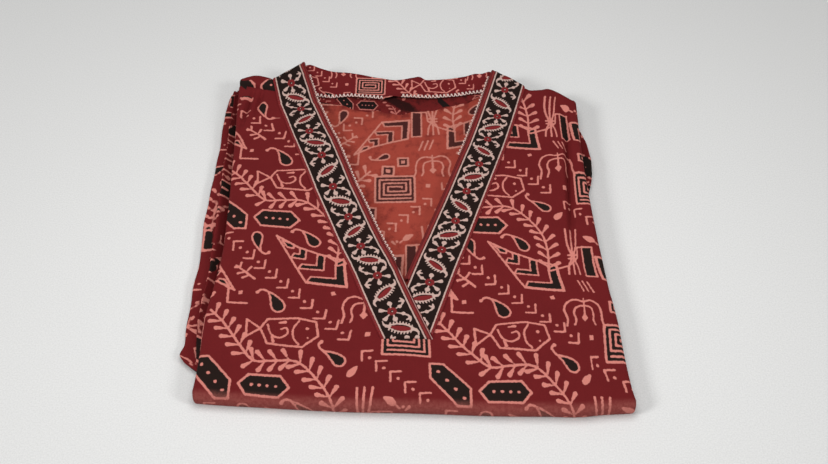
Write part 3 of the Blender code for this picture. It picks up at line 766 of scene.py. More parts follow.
def border_flower():
    """A red centre, four petals, and two arms on one side that swell and end in claws."""
    marks = [line(ring(2.25), 1.15, closed=True, field="fill"), dot(0.2, -0.2, 0.5)]
    petal = [(4.9, 0.4), (5.9, 1.5), (7.4, 1.9), (8.9, 0.9), (9.1, -0.7), (7.4, -1.8), (5.9, -1.4)]
    wedge = [(4.9, 0.4), (6.2, 1.1), (9.0, 1.7), (9.7, 0.2), (9.0, -1.5), (6.2, -1.0)]
    stalk = line([(3.7, 0.0), (5.4, 0.0)], 0.5)
    for shape, size, turn in (
        (petal, 0.98, 2), (wedge, 1.0, 56), (wedge, 0.98, 116), (petal, 0.95, 186),
    ):  # fmt: skip
        marks += placed([area(smooth(shape, True), "line"), stalk], 0, 0, turn, size)
    for way, stem, swell in (
        (1, [(2.6, -2.9), (4.8, -6.2), (7.2, -8.9), (9.6, -9.9)], (4.9, -6.7)),
        (-1, [(1.2, -3.8), (2.0, -6.4), (3.2, -8.8), (5.2, -10.4)], (1.9, -6.4)),
    ):
        side = np.array((way, 1.0))
        marks += [line(smooth(stem) * side, (0.5, 0.75)), dot(*(swell * side), 1.5)]
        root = np.array(stem[-1])
        claw = np.array([(0.0, 0.0), (1.7, 0.3), (3.2, 1.2)]) + root
        marks += [line(smooth(claw) * side, (1.05, 0.5)), dot(*((root + (0.9, 0.5)) * side), 1.3)]
        marks.append(line(np.array([root + (0.6, 0.6), root + (1.0, 3.0)]) * side, (1.0, 0.45)))
    return marks


def border_leaf():
    """An almond leaf with toothed edges and a hook at each end, one up and one down."""
    reach = 9.6
    x = np.linspace(-reach, reach, 15)
    bow = np.cos(x / reach * math.pi / 2) ** 0.75
    marks = [line(np.stack([x, 3.3 * bow], -1), 0.62), line(np.stack([x, -3.2 * bow], -1), 0.4)]
    leaf = np.concatenate([np.stack([x, 1.75 * bow], -1), np.stack([x, -2.6 * bow], -1)[-2:0:-1]])
    marks.append(area(leaf * (0.86, 1.0), "fill"))
    for px in np.arange(-7.6, 8.0, 2.2):
        for way, edge in ((1, 3.3), (-1, 3.2)):
            y = way * edge * math.cos(px / reach * math.pi / 2) ** 0.75
            marks.append(line([(px, y), (px + 0.3, y + 1.75 * way)], (0.7, 0.42)))
    hooks = (
        [(8.2, 0.2), (10.4, 0.0), (12.4, 1.0), (13.6, 3.4)],
        [(-8.2, 0.0), (-10.4, -0.3), (-12.4, -1.7), (-13.2, -4.4)],
    )
    for hook in hooks:
        marks += [line(smooth(hook), (1.35, 0.4)), dot(*hook[1], 1.25)]
    return marks


def border_chart():
    """Two flowers and two leaves: along the tape, then across it from its middle."""
    chart = blank_chart(0.0, -TAPE_CHART_WIDTH / 2, FLOWER_REPEAT, TAPE_CHART_WIDTH, TAPE_CHART_CELL)
    for along, across, turn in ((0.0, -0.4, 180.0), (33.5, 0.8, 0.0)):
        draw(chart, placed(border_flower(), along, across, turn))
    draw(chart, placed(border_leaf(), 17.2, 0.2, 244.5, 0.94, mirror=True))
    draw(chart, placed(border_leaf(), 49.7, 0.3, 301.0))
    return chart


# ---------------------------------------------------------------- the front panel

LIP_COLUMNS = 9
# how far the print was eased as the cloth was sewn and pressed, at places of the cloth
EASED = table(
    "x y across along",
    (-120, 105, 0.3, -1.7), (-120, 55, -2.5, -3.3), (-92, 55, -1.5, -2.5), (-92, 20, -1.5, 0),
    (-120, 20, -1, 1), (-120, -15, 0.8, 2.5), (-92, -15, 0.5, 0), (-64, -15, 2.2, -2.6),
    (-64, -50, 0.5, -1), (-105, -50, 0.5, 0), (-36, -85, 3, -0.5), (-92, -85, 0, 0),
    (-120, -120, 1, 1.5), (-64, -120, -0.2, 0.1), (-64, -148, 0.5, -1.8), (-92, -148, 0, -0.6),
    (-120, -148, 0.5, 1.5), (-8, -135, 0.7, 0.8), (104, 90, -4.3, -4.2), (134, 90, -4.3, -4.6),
    (76, 55, -2, -4), (104, 55, -2.6, -3.5), (130, 50, -2, 5.5), (76, 20, -2, -3.5),
    (104, 20, -4.8, -4.8), (130, 20, -3.5, -3.5), (76, -15, -2, -1), (118, -15, -3.7, -3.1),
    (48, -50, -0.5, 0), (76, -50, -2, -0.5), (104, -50, -5, -1.4), (130, -50, -4.5, -2),
    (48, -85, 0.3, -5), (76, -85, -1, 0), (104, -85, -2, 0), (130, -85, 0.4, 2.4),
    (30, -120, -1.8, -3.5), (76, -120, 0.5, 1.8), (104, -120, -0.2, 3.2), (128, -120, -1.5, 2.2),
    (48, -148, 1, -1.5), (20, -148, 1, 1.2), (76, -148, 2.3, -0.5), (104, -148, -0.5, -2),
    (130, -148, -3.5, -3.5),
)  # fmt: skip
EASE_REACH = 20.0
EASE_REST = 0.05  # the weight of cloth that wasn't eased


def take_up(x, y):
    """Cloth, across and along, that the right trough and the left shoulder's gathers take up."""
    aside = 5.0 * eased(x, 122.0, 138.0) * eased(y, -160.0, -130.0)
    at_shoulder = 1 - eased(x, -112.0, -104.0)
    aside = aside + 5.5 * at_shoulder * eased(y, 78.0, 104.0)
    return aside, -7.0 * at_shoulder * eased(y, 118.0, 138.0)


def gathered_fields(fields, x, y):
    """The left shoulder's gathers hide the print, but for the band that shows in its tuck, and a pale
    line along the tuck's edge is a painted highlight.
    """
    across = y + 0.33 * (x + 134.0)
    band = eased(across, 142.4, 143.4) * (1 - eased(y + 0.8 * np.sin(x / 2.6), 149.5, 151.0))
    at_shoulder = 1 - eased(x, -117.0, -110.0)
    bare = 6.0 * at_shoulder * eased(y, 129.0, 132.5) * (1 - band)
    # painted highlight: a pale line along the tuck's rounded edge
    edge = np.abs(across - 142.9 - 0.5 * np.sin(x / 3.1)) - 0.55 + 6.0 * (1 - at_shoulder)
    line_at = np.where(y > 132.0, np.minimum(fields["line"] + bare, edge), fields["line"] + bare)
    return {"line": line_at, "fill": fields["fill"] + bare}


def half_rows(side, part, places, cell):
    """Rows of half the sheet, from the neck or the centre line out round the side fold."""
    column = "left" if side < 0 else "right"
    radius, inset = (v[:, None] for v in lip_of(part, places))
    share = share_of(part, places)
    fold = meet(lambda y: curve(SIDE_FOLDS, "y", column, y), share)[:, None]
    tangent = fold - side * (radius + inset)
    if part in ("top", "shoulder"):
        inner = meet(lambda y: panel_neck_edge(side, y), share)[:, None]
    else:
        inner = CENTRE_X + 0 * fold
    across = np.linspace(0.0, 1.0, int(HALF_WIDTH / cell) + 1)
    x = inner + (tangent - inner) * across
    point, along = sheet_point(part, places[:, None], x, 0.0)
    aside, onward = take_up(x, point[1])
    flat = grid_of(point, (x + aside, along + onward))
    turns = np.linspace(0.0, LIP_TURN, LIP_COLUMNS)[1:]
    point, along = sheet_point(part, places[:, None], tangent + 0 * turns, radius * (1 - np.cos(turns)))
    aside, onward = take_up(tangent, point[1])
    u = tangent + side * radius * turns + aside
    lip = grid_of((tangent + side * radius * np.sin(turns), *point[1:]), (u, along + onward))
    return stacked([flat, lip], 1)


def print_fields(chart, grid, shift=(0.0, 0.0)):
    """The print's two fields at every point of a grid."""
    u, v = grid.cloth[..., 0] + shift[0], grid.cloth[..., 1] + shift[1]
    return {name: read_chart(chart, name, *on_grain(u, v)) for name in chart.fields}


def eased_print(x, y):
    """Where to read the chart, off each place on the front: the cloth was eased as it was sewn."""
    total, across, along = EASE_REST, 0.0, 0.0
    for row in EASED:
        weight = np.exp(-((x - row.x) ** 2 + (y - row.y) ** 2) / EASE_REACH**2)
        total, across, along = total + weight, across + weight * row.across, along + weight * row.along
    return -across / total, -along / total


def front_half(name, side, chart, material):
    """One half of the front's top layer, from the near fold to the rolled shoulder."""
    runs = (
        ("near", np.linspace(math.pi, 0.0, 26)[:-1]),
        ("top", np.linspace(0.0, 1.0, int(PANEL_LENGTH / PANEL_CELL))),
        ("shoulder", np.linspace(0.0, SHOULDER_TURN, 14)[1:]),
    )
    grid = stacked([half_rows(side, part, places, PANEL_CELL) for part, places in runs], 0)
    fields = print_fields(chart, grid, eased_print(*np.moveaxis(grid.cloth, -1, 0)))
    x, y, _ = np.moveaxis(grid.points, -1, 0)
    if side < 0:
        fields = gathered_fields(fields, x, y)
    # painted highlight: paler along the near fold, where it curves to face the lamps
    fields["near_fold_highlight"] = eased(near_tangent(x) - y, -2.0, 5.0)
    return make_mesh(name, grid, fields, material, flip=side < 0)


def front_underside(chart, material):
    """The front folded back beneath the bundle."""
    places = np.linspace(0.0, 1.0, int(RETURN_LENGTH / UNDER_CELL))
    left, right = (half_rows(side, "under", places, UNDER_CELL) for side in (-1, 1))
    left = Grid(*(field[:, :0:-1] for field in left))
    grid = stacked([left, right], 1)
    return make_mesh("front_underside", grid, print_fields(chart, grid), material, flip=True)


# ---------------------------------------------------------------- the back and its facing

# how far the back neckline drops below the shoulders, y of the facing's edge, and of the layer below it
FACING_ROWS = table(
    "x drop low second",
    (-78, 3, 129.8, 126.5), (-65, 3, 130.2, 124), (-50, 0.3, 131.2, 120), (-40, 0.3, 130.8, 116.5),
    (-30, 1.4, 129.6, 115.5), (-20, 2.3, 128.2, 114.5), (-10, 3.2, 130, 112.5), (0, 4, 130.2, 113),
    (6, 2.8, 129.6, 114.2), (12, 1, 129.4, 115.3), (16.5, 3.7, 129.6, 116), (22, 3.5, 129.8, 117),
    (30, 3.4, 130.2, 119.5), (40, 3.3, 131.8, 121.5), (50, 3, 133.2, 124.5),
    (60, 3.2, 134.4, 129.5), (66, 5.6, 134.8, 131), (74, 3.2, 135.2, 133),
)  # fmt: skip
FACING_INSET = 0.1  # how much further in the facing ends
FACING_LIFT = 2.2  # how far its loose edge stands off the back
FACING_HEM = 0.55  # radius of its turned edge
FACING_ROLL = 1.5  # radius of its roll over the neckline
NECK_GAP = 1.2  # from the front's cut edges to the back that shows between them
BACK_REACH = 26.0  # how far the back runs on under the front
OPEN_LEAST = 5.0  # half its width where the neck's edges meet
BACK_LOW = -112.0
HOLLOW_X = -11.0  # where the facing's edge has turned under
HOLLOW_HALF = 7.0


def far_line(x):
    return curve(FAR_EDGE, "x", "y", x)


def neckline(x):
    """The back neckline's edge."""
    return far_line(x) - 0.4 - curve(FACING_ROWS, "x", "drop", x)


def facing_low(x):
    """The facing's loose lower edge, which wanders a little."""
    return curve(FACING_ROWS, "x", "low", x) + 0.35 * np.sin(x / 4.3 + 0.5)


def between(upper, lower, shares):
    """y of each row from one line to another, for a column at any x."""

    def y_of(x):
        share = shares[:, None] if np.ndim(x) == 2 else shares
        return upper(x) + share * (lower(x) - upper(x))

    return y_of


def open_columns(y_of, count, gap):
    """x of the columns that show in the neck, for each row: they follow the front's cut edges."""
    ends = []
    for side in (-1, 1):
        x = CENTRE_X + 0 * y_of(CENTRE_X)
        for _ in range(16):
            edge = panel_neck_edge(side, y_of(x)) - side * gap
            edge = side * np.maximum(side * edge, side * CENTRE_X + OPEN_LEAST)
            x = 0.5 * x + 0.5 * edge
        ends.append(x[:, None])
    return ends[0] + (ends[1] - ends[0]) * np.linspace(0.0, 1.0, count)


def back_painted_shade(x, y):
    """Painted shade on the wrong side, where shadow falls: by the left edge and under the facing."""
    beside = np.exp(-(((x - binding_inner(-1, y)) / (8.0 + 4.0 * np.sin(y / 19.0))) ** 2))
    under = eased(y, curve(FACING_ROWS, "x", "second", x) - 9.0, curve(FACING_ROWS, "x", "second", x))
    return np.clip(0.75 * beside + 0.8 * under, 0.0, 1.0)


def back_panel(chart, material):
    """The back's wrong side, where it shows in the neck."""
    shares = np.linspace(0.0, 1.0, int(BACK_LENGTH / BACK_CELL))
    y_of = between(lambda x: BACK_LOW + 0 * x, neckline, shares)
    seen = open_columns(y_of, int(NECK_WIDTH / BACK_CELL), NECK_GAP)
    reach = np.linspace(1.0, 0.0, 24)[:-1] * BACK_REACH
    x = np.concatenate([seen[:, :1] - reach, seen, seen[:, -1:] + reach[::-1]], 1)
    x = np.clip(x, -133.0, 131.0)
    is_hidden = (x < seen[:, :1]) | (x > seen[:, -1:])
    y = np.where(is_hidden, np.minimum(y_of(x), far_line(x) - SHOULDER_ROLL - CLOTH - 0.8), y_of(x))
    grid = grid_of((x, y, back_height(x, y)), (-10.0 - (x - 2.0) / 0.93, y - 144.0))
    # the attribute carries painted shade, darker by the left binding and under the facing
    fields = {**print_fields(chart, grid), "painted_shade_share": back_painted_shade(x, y)}
    return make_mesh("back_panel_wrong_side", grid, fields, material)


def curl(x):
    """How far the facing's edge has turned under, at its hollow."""
    return np.exp(-(((x - HOLLOW_X) / HOLLOW_HALF) ** 2))


def facing_place(x, down):
    """y and height of the facing, at a share of the way down from the neckline."""
    left, right = panel_neck_edge(-1, 150.0), panel_neck_edge(1, 150.0)
    middle = np.sin(math.pi * np.clip((x - left) / (right - left), 0.0, 1.0))
    y = neckline(x) + down * (facing_low(x) - neckline(x))
    lift = SEAM + 0.2 + CLOTH + FACING_LIFT * middle * down**1.5
    lift = lift + 0.5 * np.sin(x / 8.0) * down**2 * middle + 1.8 * curl(x) * down**3
    return y + 3.0 * curl(x) * np.maximum(0.0, down - 0.55), back_height(x, y) + lift


def facing_cloth(x, y):
    """Places on the facing's own cloth, which was cut from another part of the print."""
    return 1.36 * x + 43.4, 1.5 * y - 331.5


def back_neck_facing(chart, material):
    """The strip that lines the back neckline: rolled over it above, loose below."""
    downs = np.linspace(1.0, 0.0, 38)
    y_of = between(neckline, facing_low, downs)
    x = open_columns(y_of, int(NECK_WIDTH / BACK_CELL), NECK_GAP + FACING_INSET)
    y, z = facing_place(x, downs[:, None])
    flat = grid_of((x, y, z), facing_cloth(x, y))
    turns = np.linspace(math.pi * 0.95, 0.0, 8)[:-1, None]
    hem = grid_of(
        (x[:1], y[:1] - FACING_HEM * np.sin(turns), z[:1] - FACING_HEM + FACING_HEM * np.cos(turns)),
        facing_cloth(x[:1], y[:1] - FACING_HEM * turns),
    )
    turns = np.linspace(0.0, math.pi, 10)[1:, None]
    over = FACING_ROLL * np.sin(turns) - 2.5 * (turns > 3.0)  # its last row is tucked well under
    roll = grid_of(
        (x[-1:], y[-1:] + over, z[-1:] - FACING_ROLL + FACING_ROLL * np.cos(turns)),
        facing_cloth(x[-1:], y[-1:] + FACING_ROLL * turns),
    )
    grid = stacked([hem, flat, roll], 0)
    return make_mesh("neck_facing", grid, print_fields(chart, grid), material)


def facing_turning(chart, material):
    """The layer of the neck's seam that shows below the facing's edge, with the hollow in it: its shade
    is painted, darker under the facing's edge and near black in the hollow.
    """
    downs = np.linspace(1.0, 0.0, 34)

    def second(x):
        return curve(FACING_ROWS, "x", "second", x) + 0.7 * np.sin(x / 5.0) + 0.5 * np.sin(x / 2.3)

    y_of = between(lambda x: facing_low(x) + 5.0, second, downs)
    x = open_columns(y_of, 200, NECK_GAP + 0.6)
    y = y_of(x)
    rolled = 1 - np.clip((y - second(x)) / 3.0, 0.0, 1.0)
    z = back_height(x, y) + 0.1 + 0.7 * np.sqrt(1 - rolled**2)
    grid = grid_of((x, y, z), (1.9 * x - 36.0, 1.5 * y - 192.5))
    fields = print_fields(chart, grid)
    hollow = np.hypot((x - HOLLOW_X - 4.0 - 1.1 * (126.0 - y)) / 9.0, (y - 123.0) / 11.0)
    # painted shade: near black in the hollow under the facing's turned edge, darker just below the
    # facing's edge
    fields["painted_shade_share"] = 1.9 * (1 - eased(hollow, 0.55, 1.25)) + 0.5 * eased(y - facing_low(x), -5.0, 0.0)
    bare = 3.0 * (1 - eased(hollow, 0.7, 1.2)) + 3.0 * eased(x, 2.0, 9.0) * (1 - eased(x, 52.0, 60.0))
    fields["line"] = fields["line"] + bare
    fields["fill"] = fields["fill"] + 3.0 * eased(x, 2.0, 9.0)
    return make_mesh("facing_turning", grid, fields, material)


# ---------------------------------------------------------------- border tapes and bindings

END_SLANT = 0.2  # how the right binding's end is turned back at its inner corner
Flowers = namedtuple("Flowers", "stretch offset")  # where they come along each border
LEFT_FLOWERS = Flowers(1.0, -22.5)
RIGHT_FLOWERS = Flowers(1.055, -53.8)


def beside_left_binding(line_of, gap):
    """A line of the right pair, kept to the right of the left binding that laps over it."""

    def kept(y):
        return np.maximum(line_of(y), binding_inner(-1, y) + gap)

    return kept


def low_share(rise=0.0):
    """Where a strip starts, as a share of the way up the front."""
    near, far = near_tangent(CENTRE_X), far_tangent(CENTRE_X)
    return (NECK_LOW + rise - near) / (far - near)


def along_tape(side, x, y):
    """Distances along a tape and outwards from its middle."""
    slope = tape_slope(side, y)
    off = (x - tape_centre(side, y)) / np.sqrt(1 + slope**2)
    ys = np.linspace(-180.0, 190.0, 371)
    lengths = np.cumsum(np.sqrt(1 + tape_slope(side, ys) ** 2))
    along = np.interp(y, ys, lengths) - np.interp(NECK_LOW, ys, lengths)
    return along + off * slope, side * off


def neck_strip(name, side, inner, outer, share, width, profile, fields, material, slant=0.0):
    """A strip of tape on the front's own surface, from its lower end over the shoulder."""
    columns = int(width / TAPE_CELL) + 1
    across = np.linspace(0.0, 1.0, columns)
    runs = (
        ("top", np.linspace(share, 1.0, int((1 - share) * PANEL_LENGTH / TAPE_CELL))),
        ("shoulder", np.linspace(0.0, math.radians(100), 12)[1:]),
    )
    grids = []
    for part, places in runs:
        shares = share_of(part, places)
        x0, x1 = meet(inner, shares)[:, None], meet(outer, shares)[:, None]
        x = x0 + (x1 - x0) * across
        from_inner = np.abs(x - x0)
        from_outer = np.abs(x1 - x)
        lift = profile(from_inner, from_outer)
        if part == "top":
            lift = lift - 1.2 * (places[:, None] < places[1] - 1e-9)
        else:
            lift = lift + 0.35 * eased(places, 0.0, 0.5)[:, None]
        point, _ = sheet_point(part, places[:, None], x, -lift)
        turned_back = slant * (from_outer + 6.0) * eased(point[1], 150.0, 162.0)
        point = (x, point[1] - turned_back, point[2])
        along = sheet_point(part, places[:, None], x, 0.0)[1]
        grids.append(grid_of(point, along_tape(side, x, along)))
    grid = stacked(grids, 0)
    return make_mesh(name, grid, fields(grid), material, flip=side < 0)


def edge_roll(distance, radius):
    """Fall of a strip's face near its folded edge."""
    d = np.clip(distance / radius, 0.0, 1.0)
    return radius * (1 - np.sqrt(np.clip(1 - (1 - d) ** 2, 0.0, 1.0)))


def border_profile(from_inner, from_outer):
    lift = TAPE_LIFT + TAPE - edge_roll(from_outer, 1.1) - 0.4 * edge_roll(from_inner, 0.8)
    groove = np.exp(-(((from_outer - 0.9) / 0.35) ** 2))
    return lift + 0.12 * np.sin(from_outer / 3.1) - 0.22 * groove


def binding_profile(from_inner, from_outer):
    lift = TAPE_LIFT + TAPE + 0.35 - 1.5 * edge_roll(from_inner, 1.5) - edge_roll(from_outer, 0.9)
    middle = np.exp(-(((from_outer - 3.6) / 0.5) ** 2))
    return lift - 0.3 * middle + 0.25 * np.sin(from_outer / 1.2)


def border_fields(chart, side, flowers):
    """The flowers and leaves, between two pale lines, and the coloured margin past the outer one."""
    full = LEFT_TAPE_WIDTH if side < 0 else RIGHT_TAPE_WIDTH

    def fields(grid):
        along, out = grid.cloth[..., 0], grid.cloth[..., 1]
        y = grid.points[..., 1]
        width = tape_width(side, y)
        half = width / 2
        at = flowers.stretch * (along - tape_bend(side, "ahead", y)) + flowers.offset
        printed = {n: read_chart(chart, n, at, -out * full / width) for n in chart.fields}
        lines = np.minimum(np.abs(out - half + 0.2) - 0.5, np.abs(out + half - 0.7) - 0.6)
        inside = np.abs(out) < half - 1.2
        return {
            "line": np.minimum(np.where(inside, printed["line"], FAR_OFF), lines),
            "fill": np.minimum(np.where(inside, printed["fill"], FAR_OFF), half + 0.3 - out),
        }

    return fields


def binding_fields(side):
    """The binding's seam, and the pale line along its edge where no picots stand; the right binding has
    instead a dark line along its inner edge, which is painted shadow.
    """

    def fields(grid):
        y = grid.points[..., 1]
        out = -grid.cloth[..., 1] - tape_width(side, y) / 2
        width = binding_width(side, y)
        picots = eased(y, -60.0, -45.0) if side < 0 else eased(y, 50.0, 65.0)
        edge = np.abs(out - width + 0.9) - 0.5 * (1 - picots) + 2.0 * picots
        seam = np.abs(out - 0.52 * width) - 0.5
        if side > 0:
            # painted shadow: a dark line along the right binding's inner edge
            return {"line": edge + 2.0, "fill": np.minimum(seam, np.abs(out - width + 0.5) - 0.8)}
        return {"line": edge, "fill": seam}

    return fields


def neck_tapes(chart, band, edge):
    """Border tapes and bindings: the left pair laps over the end of the right pair."""

    def of(line_of, side, out=0.0):
        return lambda y: line_of(side, y) - side * out

    low = low_share()
    binding_left = neck_strip(
        "binding_left", -1, of(binding_inner, -1), of(tape_inner, -1, SEAM), low,
        8.6, binding_profile, binding_fields(-1), edge,
    )  # fmt: skip
    border_left = neck_strip(
        "border_left", -1, of(tape_inner, -1), of(tape_outer, -1), low,
        30.0, border_profile, border_fields(chart, -1, LEFT_FLOWERS), band,
    )  # fmt: skip
    binding_right = neck_strip(
        "binding_right", 1, beside_left_binding(of(binding_inner, 1), SEAM),
        beside_left_binding(of(tape_inner, 1, SEAM), 2 * SEAM), low_share(RIGHT_BINDING_RISE),
        8.6, binding_profile, binding_fields(1), edge, END_SLANT,
    )  # fmt: skip
    border_right = neck_strip(
        "border_right", 1, beside_left_binding(of(tape_inner, 1), SEAM), of(tape_outer, 1),
        low_share(RIGHT_BAND_RISE), 32.0, border_profile, border_fields(chart, 1, RIGHT_FLOWERS), band,
    )  # fmt: skip
    return binding_left, border_left, binding_right, border_right

# ---------------------------------------------------------------- the neck's stitches

PICOT_LEFT = (-48.0, 152.0)  # y where the beaded edge runs on each binding
PICOT_RIGHT = (60.0, 150.0)
PICOT_PITCH = 3.5
OVERLOCK_RUNS = ((-76.5, -20.5), (-2.5, 65.0))  # x; between them the edge has turned under
OVERLOCK_PITCH = 3.2
RUNNING_PITCH = 2.7
MARGIN_SEAM = 0.9  # how far the running stitches lie in from the border's outer edge


def overlock_path(low, high):
    x = np.arange(low, high, 0.8)
    depth = neckline(x) - facing_low(x)
    y, z = facing_place(x, 1.0 - 0.7 / depth)
    return np.stack([x, y, z + 0.35], -1)


def picot_path(side, low, high):
    y = np.arange(low, high, 1.0)
    x = binding_inner(side, y) + side * 0.1
    return np.stack([x, y, roof(x, y) + TAPE_LIFT + 0.55], -1)


def margin_path(side, inset):
    """Where the border's outer margin is sewn down."""
    y = np.arange(NECK_LOW + 4.0, 146.0 if side < 0 else 130.0, 1.0)
    x = tape_outer(side, y) - side * inset
    return np.stack([x, y, roof(x, y) + TAPE_LIFT + TAPE - 0.1], -1)


def neck_stitches(thread, picot_thread, sewing):
    """The facing's overlocked edge, the picots of the bindings and the borders' running stitches."""
    loop = thread_shape(
        "overlock_loop",
        [(-1.7, -1.7, -0.1), (-0.8, -1.7, 0.2), (-0.35, 0.0, 0.45), (-0.3, 1.1, 0.2), (0.3, 1.2, 0.2),
         (0.35, 0.0, 0.45), (0.8, -1.6, 0.2), (1.7, -1.7, -0.1)],
        0.5,
    )  # fmt: skip
    picot = thread_shape(
        "picot_loop",
        [(-1.05, -0.4, 0.0), (-0.9, 0.7, 0.35), (0.0, 1.2, 0.5), (0.9, 0.7, 0.35), (1.05, -0.4, 0.0)],
        0.55,
    )
    stitch = thread_shape(
        "running_stitch",
        [(-0.95, 0.0, -0.25), (-0.5, 0.0, 0.1), (0.5, 0.0, 0.1), (0.95, 0.0, -0.25)],
        0.2,
        sides=5,
    )
    pieces = {}
    for word, (low, high) in zip(("left", "right"), OVERLOCK_RUNS):
        name = f"facing_overlock_{word}"
        pieces[name] = stitches_along(name, overlock_path(low, high), loop, thread, OVERLOCK_PITCH)
    for word, side, (low, high) in (("left", -1, PICOT_LEFT), ("right", 1, PICOT_RIGHT)):
        name = f"picot_edge_{word}"
        path = picot_path(side, low, high)[::side]
        pieces[name] = stitches_along(name, path, picot, picot_thread, PICOT_PITCH)
        name = f"border_stitches_{word}"
        path = margin_path(side, MARGIN_SEAM)
        pieces[name] = stitches_along(name, path, stitch, sewing, RUNNING_PITCH)
    return pieces


# ---------------------------------------------------------------- sleeves


def fold_arc(reach, high, low, way=1.0, count=14):
    """Half a circle from one level to the next, its crown at the reach."""
    radius = np.abs(high - low) / 2
    turns = np.linspace(0.0, math.pi, count)
    out = reach - way * radius + way * radius * np.sin(turns)
    return out, (high + low) / 2 + (high - low) / 2 * np.cos(turns)


def sleeve_profile(side, folds, dip, y):
    """One cut through a doubled sleeve: distances out from the side fold, and heights."""
    fold = curve(SIDE_FOLDS, "y", "left" if side < 0 else "right", y)
    upper, lower = curve(folds, "y", "upper", y), curve(folds, "y", "lower", y)
    room = roof(fold - side * TOP_LIP, y) - TOP_LIP * (1 - math.cos(LIP_TURN)) - SEAM
    levels = SLEEVE_FLOOR + (room - SLEEVE_FLOOR) * np.array([0.915, 0.625, 0.405, 0.085])
    levels[0] += 0.35
    levels[3] -= 0.35
    wave = np.sin(y / 7.0) + 0.6 * np.sin(y / 3.1 + 1.0)
    upper, lower = upper + 0.25 * wave, lower + 0.25 * np.sin(y / 5.3 + 2.0)
    parts = [
        (np.linspace(-SLEEVE_INSIDE, upper - 3, 12)[:-1], levels[0]),
        fold_arc(upper, levels[0], levels[1]),
        (np.linspace(upper - 3.4, -4.4, 6), levels[1] + 0.15 * wave),
        fold_arc(-5.5, levels[1], levels[2], -1.0, 8),
        (np.linspace(-4.4, lower - 4.0, 8), levels[2] - 0.15 * wave),
        fold_arc(lower, levels[2], levels[3], 1.0, 16),
        (np.linspace(lower - 3, -SLEEVE_INSIDE, 12)[1:], levels[3]),
    ]
    out = np.concatenate([p[0] for p in parts])
    rise = np.concatenate([p[1] + 0 * p[0] for p in parts])
    low = min(row.y for row in folds)
    valley = dip * eased(y, low, low + 60.0) * np.exp(-(((out - 1.2) / 4.0) ** 2))
    rise = rise - valley * (rise - SLEEVE_FLOOR) / (levels[0] - SLEEVE_FLOOR)
    return fold + side * out, out, rise


def sleeve(word, side, folds, dip, chart, shift, material):
    """A sleeve doubled under the side, with a turned hem at its cuff."""
    low, high = min(row.y for row in folds), max(row.y for row in folds)
    ys = np.linspace(low, high, int((high - low) / SLEEVE_CELL))
    points, cloths = [], []
    for y in ys:
        x, out, rise = sleeve_profile(side, folds, dip, y)
        lower = curve(folds, "y", "lower", y)
        slant = CUFF_SLANT * (1 - eased(y, low, low + 60.0))
        place_y = y - slant * (lower - np.maximum(out, -2.0))
        length = np.concatenate([[0.0], np.cumsum(np.hypot(np.diff(x), np.diff(rise)))])
        points.append(np.stack([x, place_y, rise], -1))
        cloths.append(np.stack([length + 0 * x, y + 0 * x], -1))
    points, cloths = np.array(points), np.array(cloths)
    points[..., 2] += 0.3 * ripple(points[..., 0] * 2.3, points[..., 1] * 1.7)
    across = np.gradient(points[0], axis=0)
    normal = np.stack([-across[:, 2], 0 * across[:, 0], across[:, 0]], -1)
    normal *= side / np.maximum(np.linalg.norm(normal, axis=1), 1e-6)[:, None]
    hem = []
    for turn in np.linspace(math.pi, 0.0, 7)[:-1]:
        inward = 0.5 * (1 - math.cos(turn))
        turned = points[0] - 0.9 * inward * normal
        turned[:, 1] -= 0.45 * math.sin(turn)
        hem.append(turned)
    inside = hem[0] + np.array([0.0, 7.0, 0.0])
    points = np.concatenate([[inside], hem, points])
    cloths = np.concatenate([cloths[:1].repeat(7, 0), cloths])
    grid = grid_of(np.moveaxis(points, -1, 0), np.moveaxis(cloths, -1, 0))
    fields = print_fields(chart, grid, shift)
    return make_mesh(f"sleeve_{word}_cloth", grid, fields, material, flip=side < 0)


# ---------------------------------------------------------------- the layers folded away inside

BUNDLE_FLOOR = CLOTH + SEAM
BUNDLE_LAYERS = 5
BUNDLE_SIDE_INSET = 6.4  # how far the layers stay in from the side folds and the shoulders
BUNDLE_FAR_INSET = 8.5
BUNDLE_PROBE = 9.0  # how far round about the back panel's height is felt for


def bundle_outline(share):
    """Left and right x of the bundle at a row: it makes room for the sleeves."""
    y = NEAR_LINE + share * (SHOULDER_LINE - NEAR_LINE)
    beside = SLEEVE_INSIDE + 1.9 + 1.2 - BUNDLE_SIDE_INSET
    left = curve(SIDE_FOLDS, "y", "left", y) + BUNDLE_SIDE_INSET
    right = curve(SIDE_FOLDS, "y", "right", y) - BUNDLE_SIDE_INSET
    left = left + beside * eased(y, -163.0, -151.0)
    right = right - beside * eased(y, -121.0, -105.0)
    return left, right


def bundle_top(x, y):
    """Height of the bundle, below the lowest of the back panel round about."""
    probes = [(0, 0), (1, 0), (-1, 0), (0, 1), (0, -1)]
    around = [back_height(x + BUNDLE_PROBE * dx, y + BUNDLE_PROBE * dy) for dx, dy in probes]
    return np.min(around, axis=0) - CLOTH - LAYER_AIR


def ring_of(grid):
    """The border of a grid of points, once round."""
    return np.concatenate([grid[0, :-1], grid[:-1, -1], grid[-1, :0:-1], grid[:0:-1, 0]])


